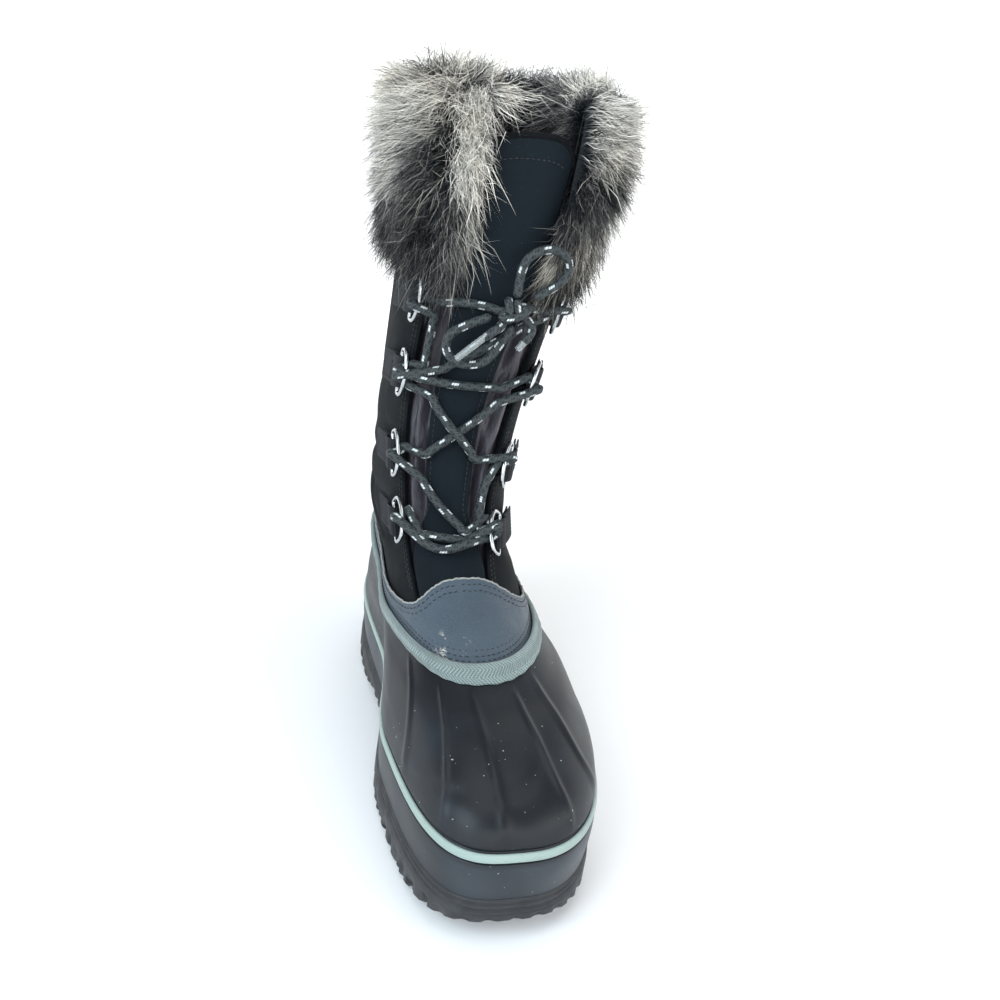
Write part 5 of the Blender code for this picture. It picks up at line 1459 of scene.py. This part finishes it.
def knot_side(side):
    """Where a run of lace goes into the knot: section number and distance round."""
    return KNOT_PLACE[0] + 0.04 * side, KNOT_PLACE[1] + side * KNOT_SIZE[0] * 0.30


def anchor(side, number):
    """Where a run of lace meets the knot or a ring: section number and distance round."""
    if number == 0:
        return knot_side(side)
    row = RING_ROWS[number - 1]
    reach = RING_REACH + RING_WIRE / 2.0 + 0.005
    return row, side * (throat_half(row, side) + RING_SETBACK - reach)


def ring_turn(side, number, slide, come, leave):
    """The lace's way through a ring: under the wire of its bow, up, and back over it. slide
    moves it along the bow; come and leave say from which end it arrives and goes."""
    centre, up, out, forward = ring_place(RING_ROWS[number - 1], side)
    tilt = unit(forward + out * RING_TILT)
    rise = unit(out - forward * RING_TILT)
    clear = (RING_WIRE + LACE_DIAMETER) / 2.0 + 0.0001
    shrink = math.sqrt(max(0.0, 1.0 - (2.0 * slide / RING_LENGTH) ** 2))
    wire = centre + up * slide + tilt * (RING_REACH * (0.35 + 0.65 * shrink))
    points = []
    for turn in (-80.0, -120.0, -160.0, -200.0, -240.0, -280.0):
        angle = math.radians(turn)
        share = (turn + 80.0) / -200.0
        sideways = up * (come * (1.0 - share) + leave * share) * 0.0024
        points.append(wire + (tilt * math.cos(angle) + rise * math.sin(angle)) * clear + sideways)
    return points


def run_middles():
    """Each run of the lace over the tongue, as rows of (section, distance round, lift)."""
    steps = np.linspace(0.16, 0.84, 9)
    runs = []
    for n in range(len(LACE_CHAIN) - 1):
        (u1, a1), (u2, a2) = anchor(*LACE_CHAIN[n]), anchor(*LACE_CHAIN[n + 1])
        u = u1 + (u2 - u1) * steps + LACE_BOWS[n] * np.sin(math.pi * steps)
        arc = a1 + (a2 - a1) * steps
        base = LACE_DIAMETER / 2.0 + 0.0003
        lift = base + 0.0030 * np.abs(2.0 * steps - 1.0) ** 3.0
        runs.append(np.column_stack([u, arc, lift]))
    return runs


def lift_crossings(runs):
    """Raises the later of two runs where they cross, as a thrown-over lace lies."""
    for n, later in enumerate(runs):
        for earlier in runs[:n]:
            fine = np.linspace(0.0, 1.0, 60)
            flat = []
            for run in (earlier, later):
                places = np.linspace(0.0, 1.0, len(run))
                u = np.interp(fine, places, run[:, 0])
                arc = np.interp(fine, places, run[:, 1])
                flat.append(np.column_stack([u * SECTION_METRES, arc]))
            gaps = np.linalg.norm(flat[0][:, None] - flat[1][None], axis=2)
            i, j = np.unravel_index(gaps.argmin(), gaps.shape)
            if gaps[i, j] > CROSSING_REACH:
                continue
            spot = flat[1][j]
            away = np.hypot(later[:, 0] * SECTION_METRES - spot[0], later[:, 1] - spot[1])
            later[:, 2] += LACE_DIAMETER * HUMP_SHARE * np.exp(-(away / HUMP_REACH) ** 2)
    return runs


def make_lacing(material):
    """The whole lace from the knot down and back, through its rings."""
    runs = lift_crossings(run_middles())
    visits = {}
    for stop in LACE_CHAIN:
        visits[stop] = visits.get(stop, 0) + 1
    seen = {}
    u, arc = knot_side(INNER)
    lift = KNOT_PLACE[2] - 0.001
    points = [lace_point(u, arc + 0.004, lift), lace_point(u, arc, lift)]
    for n, run in enumerate(runs):
        points += [lace_point(*row) for row in run]
        side, number = LACE_CHAIN[n + 1]
        if number == 0:
            break
        k = seen.get((side, number), 0)
        seen[(side, number)] = k + 1
        slide = (k - (visits[(side, number)] - 1) / 2.0) * -0.0064
        come = np.sign(runs[n][:, 0].mean() - RING_ROWS[number - 1] + 1e-6)
        leave = np.sign(runs[n + 1][:, 0].mean() - RING_ROWS[number - 1] - 1e-6)
        if come == leave:
            leave = -come
        points += ring_turn(side, number, slide, come, leave)
    u, arc = knot_side(OUTER)
    points += [lace_point(u, arc, lift), lace_point(u, arc - 0.004, lift)]
    route = even_route(points, LACE_STEP)
    lace = tube("lace_through_rings", route, LACE_DIAMETER / 2.0, material, LACE_SIDES)
    return settle(lace, "lace_cord", "lace_crossings")


def laid(table, spacing=0.0010):
    """A smooth route through a table of lace points."""
    return even_route([lace_point(*row) for row in table], spacing)


def length_of(route):
    """A route's length in metres."""
    return float(np.linalg.norm(np.diff(route, axis=0), axis=1).sum())


def make_aglet(name, table, node, material):
    """A clear sheath on the lace's end, pinched a little where it grips."""
    route = laid(table, 0.0006)
    travelled = np.linspace(0.0, length_of(route), len(route))
    radii = rounded_ends(route, 0.0006) / 0.0006 * AGLET_DIAMETER / 2.0
    pinch = 0.10 * bell(travelled, 0.003, 0.0008), 0.06 * bell(travelled, 0.0055, 0.0008)
    radii = radii * (1.0 - pinch[0] - pinch[1])
    return settle(tube(name, route, radii, material, LACE_SIDES), "clear_aglet", node)


def make_knot(material):
    """The bow's knot: the lace wound once and a half round, with a bight across it."""
    centre = lace_point(*KNOT_PLACE)
    up = unit(lace_point(KNOT_PLACE[0] + 0.1, *KNOT_PLACE[1:]) - centre)
    out = form_normal(KNOT_PLACE[0], 0.0)
    across = unit(np.cross(up, out))
    axis = unit(across * 0.9 + up * 0.45)
    side = unit(np.cross(axis, out))
    turns = np.linspace(-0.6, TAU * 1.45, 60)
    half = LACE_DIAMETER / 2.0
    wind = [centre + side * 0.0046 * math.cos(t) + out * 0.0030 * math.sin(t)
            + axis * (-0.0030 + 0.0044 * t / (TAU)) for t in turns]
    cross = [centre + axis * (0.0068 * math.cos(t)) + out * (0.0036 + 0.0012 * math.sin(t)) * 0.9
             + side * (0.0030 * math.sin(t)) for t in np.linspace(-0.3, 3.3, 30)]
    core = [centre - axis * 0.0060, centre - axis * 0.002 + out * 0.0006, centre + axis * 0.002,
            centre + axis * 0.0060]
    parts = []
    for n, route in enumerate((wind, cross, core)):
        route = even_route(route, 0.0009)
        parts.append(tube(f"knot_{n}", route, rounded_ends(route, half * 0.96), material, LACE_SIDES))
    return settle(join("bow_knot", parts), "lace_cord", "lace_knot")


def make_loop(name, table, node, material):
    """One loop of the bow, along the CAD model's own route."""
    route = laid(table)
    loop = tube(name, route, rounded_ends(route, LACE_DIAMETER / 2.0), material, LACE_SIDES)
    settle(loop, "lace_cord", node)


def make_end(name, table, tip, node, material):
    """One end of the lace, thinner where it runs inside its aglet. A short one isn't a cord."""
    start = ((KNOT_PLACE[0] + 0.06, KNOT_PLACE[1], KNOT_PLACE[2]),)
    route = laid(start + table + tip[1:])
    length = length_of(route)
    inside = smoothstep(length - length_of(laid(tip)), length - 0.001,
                        np.linspace(0.0, length, len(route)))
    radii = np.minimum(rounded_ends(route, LACE_DIAMETER / 2.0),
                       LACE_DIAMETER / 2.0 - 0.0008 * np.minimum(inside * 8.0, 1.0))
    end = tube(name, route, radii, material, LACE_SIDES)
    settle(end, "lace_cord", node)


def make_bow(material, clear):
    """The knot, two loops, two ends and their aglets."""
    make_knot(material)
    long_aglet = make_aglet("aglet_sheath_long", AGLET_LONG, "aglet_long", clear)
    short_aglet = make_aglet("aglet_sheath_short", AGLET_SHORT, "aglet_short", clear)
    make_loop("bow_loop_up", BOW_UP, "lace_loop_up", material)
    make_loop("bow_loop_down", BOW_DOWN, "lace_loop_down", material)
    make_end("bow_end_long", END_LONG, AGLET_LONG, "lace_end_long", material)
    make_end("bow_end_short", END_SHORT, AGLET_SHORT, "lace_end_short", material)


# Stitches

# A stitch's rings: place along the pitch, share of the thickness, height in thicknesses
STITCH_RINGS = ((0.0, 0.25, -0.55), (0.14, 0.8, 0.10), (0.5, 1.0, 0.40), (0.62, 0.8, 0.10),
                (0.76, 0.25, -0.55))
STITCH_SIDES = 6
# Pitch and thickness of each kind of stitch
LEATHER_STITCH, FABRIC_STITCH, WEBBING_STITCH = (0.0029, 0.00055), (0.0027, 0.00045), (0.0021, 0.00045)


def followed(at, travelled, values):
    """A route's points or directions at the distances in at."""
    return np.stack([np.interp(at, travelled, values[:, k]) for k in range(3)], axis=-1)


def stitch_rows(name, routes, material, pitch, thick):
    """Rows of single stitches. Each route is (points, outward directions)."""
    blocks, maps = [], []
    turns = all_round(STITCH_SIDES)[None, :, None]
    for route, normals in routes:
        travelled = distances(route)
        starts = np.arange(0.0, travelled[-1] - pitch, pitch)
        rings, places = [], []
        for share, radius, sunk in STITCH_RINGS:
            at = starts + share * pitch
            middle = followed(at, travelled, route)
            normal = unit(followed(at, travelled, normals))
            ahead = unit(followed(at + 0.0004, travelled, route) - middle + 1e-9)
            side = np.cross(ahead, normal)
            rings.append(middle[:, None] + normal[:, None] * (sunk * thick)
                         + (side[:, None] * np.cos(turns) + normal[:, None] * np.sin(turns))
                         * radius * thick / 2.0)
            places.append(np.repeat((at % 0.01)[:, None], STITCH_SIDES, axis=1))
        blocks.append(np.stack(rings, axis=1))
        maps.append(np.stack(places, axis=1))
    stitches, flat = np.concatenate(blocks), np.concatenate(maps).reshape(-1)
    each = len(STITCH_RINGS) * STITCH_SIDES
    first = (np.arange(len(stitches)) * each)[:, None, None]
    low = first + np.arange(len(STITCH_RINGS) - 1)[None, :, None] * STITCH_SIDES
    k = np.arange(STITCH_SIDES)[None, None, :]
    k_next = (k + 1) % STITCH_SIDES
    high = low + STITCH_SIDES
    quads = np.stack([low + k, low + k_next, high + k_next, high + k], axis=-1).reshape(-1, 4)
    mapped = np.stack([flat[quads], np.zeros(quads.shape)], axis=-1)
    return quads_mesh(name, stitches.reshape(-1, 3), quads, mapped, [material])


def row_on_form(u, phi, lift):
    """A stitch row's points and the directions out of the surface."""
    u, phi = np.broadcast_arrays(np.asarray(u, float), np.asarray(phi, float))
    return on_form(u, phi, lift), form_normal(u, phi)


def sew_leather(material):
    """Two rows along the leather's top edge, and three above the band."""
    angles = np.linspace(0.0, TAU, SEAM_TURNS)
    lift = UPPER_OUT + CURVED_GAP + 0.0011
    top = overlay_top(angles)
    routes = [row_on_form(top - down, angles, lift) for down in SEAMS_BELOW_TOP]
    routes += [row_on_form(TOPLINE + up, angles, lift) for up in (0.26, 0.38, 0.52)]
    settle(stitch_rows("leather_stitches", routes, material, *LEATHER_STITCH), "smooth_leather")


def sew_fabric(material):
    """The throat's edges, the tongue's edges, the back seam and two rows across the tongue."""
    routes = []
    rows = np.linspace(9.4, COLLAR - 1.5, 400)
    for side in (OUTER, INNER):
        for away in (0.0022, 0.0048):
            phi = angle_at(rows, side * (throat_half(rows, side) + away))
            routes.append(row_on_form(rows, phi, UPPER_OUT + shaft_relief(rows, phi)))
        above = rows > 11.2
        phi = angle_at(rows, side * (tongue_half(rows, side) - 0.0035))
        routes.append(row_on_form(rows[above], phi[above], UPPER_OUT))
    for shift in (-0.055, 0.055):
        phi = np.full(len(rows), math.pi + shift)
        routes.append(row_on_form(rows, phi, UPPER_OUT + shaft_relief(rows, phi)))
    share = np.linspace(-0.80, 0.86, 120)
    for u in (10.96 - 0.10 * share ** 2, 17.02 - 0.26 * np.abs(share) ** 3):
        routes.append(row_on_form(u, angle_at(u, tongue_arc(u, share)), UPPER_OUT))
    settle(stitch_rows("fabric_stitches", routes, material, *FABRIC_STITCH), "shaft_fabric")


def sew_webbing(material):
    """A box of stitches that holds each strap of webbing."""
    routes = []
    floor = RING_LIFT - RING_WIRE / 2.0 - 0.0008 - WEBBING_THICK / 2.0
    lift = floor + WEBBING_THICK * 1.5 + 0.0004
    near, far = 0.0095, 0.0205
    for side in (OUTER, INNER):
        for row in RING_ROWS:
            half = (WEBBING_WIDTH / 2.0 - 0.0018) / section_height(row)
            runs = [(np.linspace(row - half, row + half, 16), np.full(16, back))
                    for back in (near, far)]
            runs += [(np.full(12, u), np.linspace(near, far, 12)) for u in (row - half, row + half)]
            for u, back in runs:
                route = np.array([webbing_point(v, side, b, lift) for v, b in zip(u, back)])
                phi = side * angle_at(u, throat_half(u, side) + back)
                routes.append((route, form_normal(u, phi)))
    settle(stitch_rows("webbing_stitches", routes, material, *WEBBING_STITCH), "loop_webbing")


# Camera, light and floor

# The photograph's own view of the boot: where it was taken from, and how it was held, in degrees
CAMERA_PLACE = (-0.14749, -0.58502, 0.33839)
CAMERA_DOWN = 22.386
CAMERA_YAW = 9.349
CAMERA_ROLL = -4.642
CAMERA_LENS = 39.6
AIM_RIGHT = 8.1
SKY_COLOUR, SKY_STRENGTH = (0.93, 0.97, 1.0, 1.0), 0.36
LIT_SPOT = (0.0, -0.08, 0.14)
# Each soft light: place, size, watts, colour
LIGHTS = {
    "window": ((-0.95, -0.75, 0.95), (0.8, 1.0), 14.0, (0.74, 0.89, 1.0)),
    "front": ((0.1, -1.7, 0.75), (1.8, 0.6), 7.0, (0.78, 0.91, 1.0)),
    "fill": ((1.0, -0.9, 0.8), (0.8, 0.8), 4.0, (1.0, 1.0, 1.0)),
    "above": ((0.05, -0.15, 1.35), (1.1, 0.9), 5.0, (1.0, 1.0, 1.0)),
    "back": ((0.2, 1.1, 0.9), (0.9, 0.6), 5.0, (1.0, 1.0, 1.0)),
}
# The floor is a wide dish: its radius, the flat part's radius, and its height at the rim. It
# glows from the first distance of GLOW_REACH, and fully from the second
FLOOR_RADIUS, FLOOR_FLAT, FLOOR_RISE = 6.0, 2.2, 3.0
GLOW_REACH, GLOW_MOST = (0.25, 1.7), 0.90


def make_camera():
    """The camera in the photograph's own place, turned aside so that the boot is centred."""
    yaw, down, roll = (math.radians(v) for v in (CAMERA_YAW, CAMERA_DOWN, CAMERA_ROLL))
    ahead = Vector((math.sin(yaw) * math.cos(down), math.cos(yaw) * math.cos(down), -math.sin(down)))
    right = Vector((math.cos(yaw), -math.sin(yaw), 0.0))
    below = ahead.cross(right)
    leant = right * math.cos(roll) + below * math.sin(roll)
    under = below * math.cos(roll) - right * math.sin(roll)
    turn = Matrix.Rotation(-math.radians(AIM_RIGHT), 3, -under)
    leant, ahead = turn @ leant, turn @ ahead
    lens = bpy.data.cameras.new("camera")
    lens.lens = CAMERA_LENS
    lens.sensor_width = 36.0
    lens.clip_start, lens.clip_end = 0.02, 20.0
    camera = bpy.data.objects.new("camera", lens)
    matrix = Matrix((leant, -under, -ahead)).transposed().to_4x4()
    matrix.translation = Vector(CAMERA_PLACE)
    camera.matrix_world = matrix
    bpy.context.scene.collection.objects.link(camera)
    bpy.context.scene.camera = camera


def make_light(name, place, size, watts, colour):
    """A soft light that shines on the boot."""
    data = bpy.data.lights.new(name, "AREA")
    data.shape = "RECTANGLE"
    data.size, data.size_y = size
    data.energy = watts
    data.color = colour
    light = bpy.data.objects.new(name, data)
    light.location = place
    light.rotation_euler = (Vector(LIT_SPOT) - Vector(place)).to_track_quat("-Z", "Y").to_euler()
    bpy.context.scene.collection.objects.link(light)


def make_studio():
    """Plain soft daylight over a white floor that curves up far behind the boot."""
    world = bpy.data.worlds.new("studio")
    world.use_nodes = True
    sky = world.node_tree.nodes["Background"].inputs
    sky["Color"].default_value = SKY_COLOUR
    sky["Strength"].default_value = SKY_STRENGTH
    bpy.context.scene.world = world
    bpy.context.scene.view_settings.view_transform = "Standard"
    for name, values in LIGHTS.items():
        make_light(name, *values)
    angles, radii = np.meshgrid(all_round(72), np.linspace(0.01, FLOOR_RADIUS, 40))
    level = FLOOR_RISE * smoothstep(FLOOR_FLAT, FLOOR_RADIUS, radii) - 0.0002
    points = np.stack([radii * np.cos(angles), radii * np.sin(angles), level], axis=-1)
    floor = surface("floor", points, floor_paint(), wrap_columns=True)


def main():
    """Builds the camera, the studio and every piece."""
    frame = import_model()
    make_camera()
    make_studio()

    lace = braided_lace()
    make_lacing(lace)
    make_bow(lace, clear_aglet())

    fabric = softshell("shaft_fabric", (0.002, 0.003, 0.004), (0.007, 0.009, 0.011))
    tongue = softshell("tongue_fabric", (0.003, 0.005, 0.008), (0.008, 0.014, 0.019), 0.0007)
    lining = fleece("shaft_lining", (0.008, 0.009, 0.011), (0.040, 0.042, 0.046))
    rubber = shell_rubber()
    satin = gusset_satin()
    thread = stitch_thread()
    make_outsole(sole_rubber())
    make_shell(rubber)
    make_stripe(pale_stripe())
    make_band(woven_band())
    make_overlay(overlay_leather(), raw_edge())
    make_upper(fabric, lining)
    make_tongue(tongue, lining, fabric)
    make_gusset("satin_outer", OUTER, "gusset_outer", satin)
    make_gusset("satin_inner", INNER, "gusset_inner", satin)
    pile = cuff_fur()
    make_fur_backing(fleece("fur_backing", (0.008, 0.010, 0.013), (0.030, 0.034, 0.038)))
    for name in HAIR_PATCHES:
        make_hair(name, pile)
    steel, webbing = ring_steel(), loop_webbing()
    for side, word in ((OUTER, "outer"), (INNER, "inner")):
        for n, row in enumerate(RING_ROWS):
            make_ring(f"ring_{word}_{n + 1}", row, side, steel)
            make_webbing(f"webbing_{word}_{n + 1}", row, side, webbing)
    sew_leather(thread)
    sew_fabric(thread)
    sew_webbing(thread)
    felt = fleece("insole_felt", (0.050, 0.050, 0.054), (0.14, 0.14, 0.145))
    for slot in frame["nodes"]["insole"].material_slots:
        slot.material = felt


main()
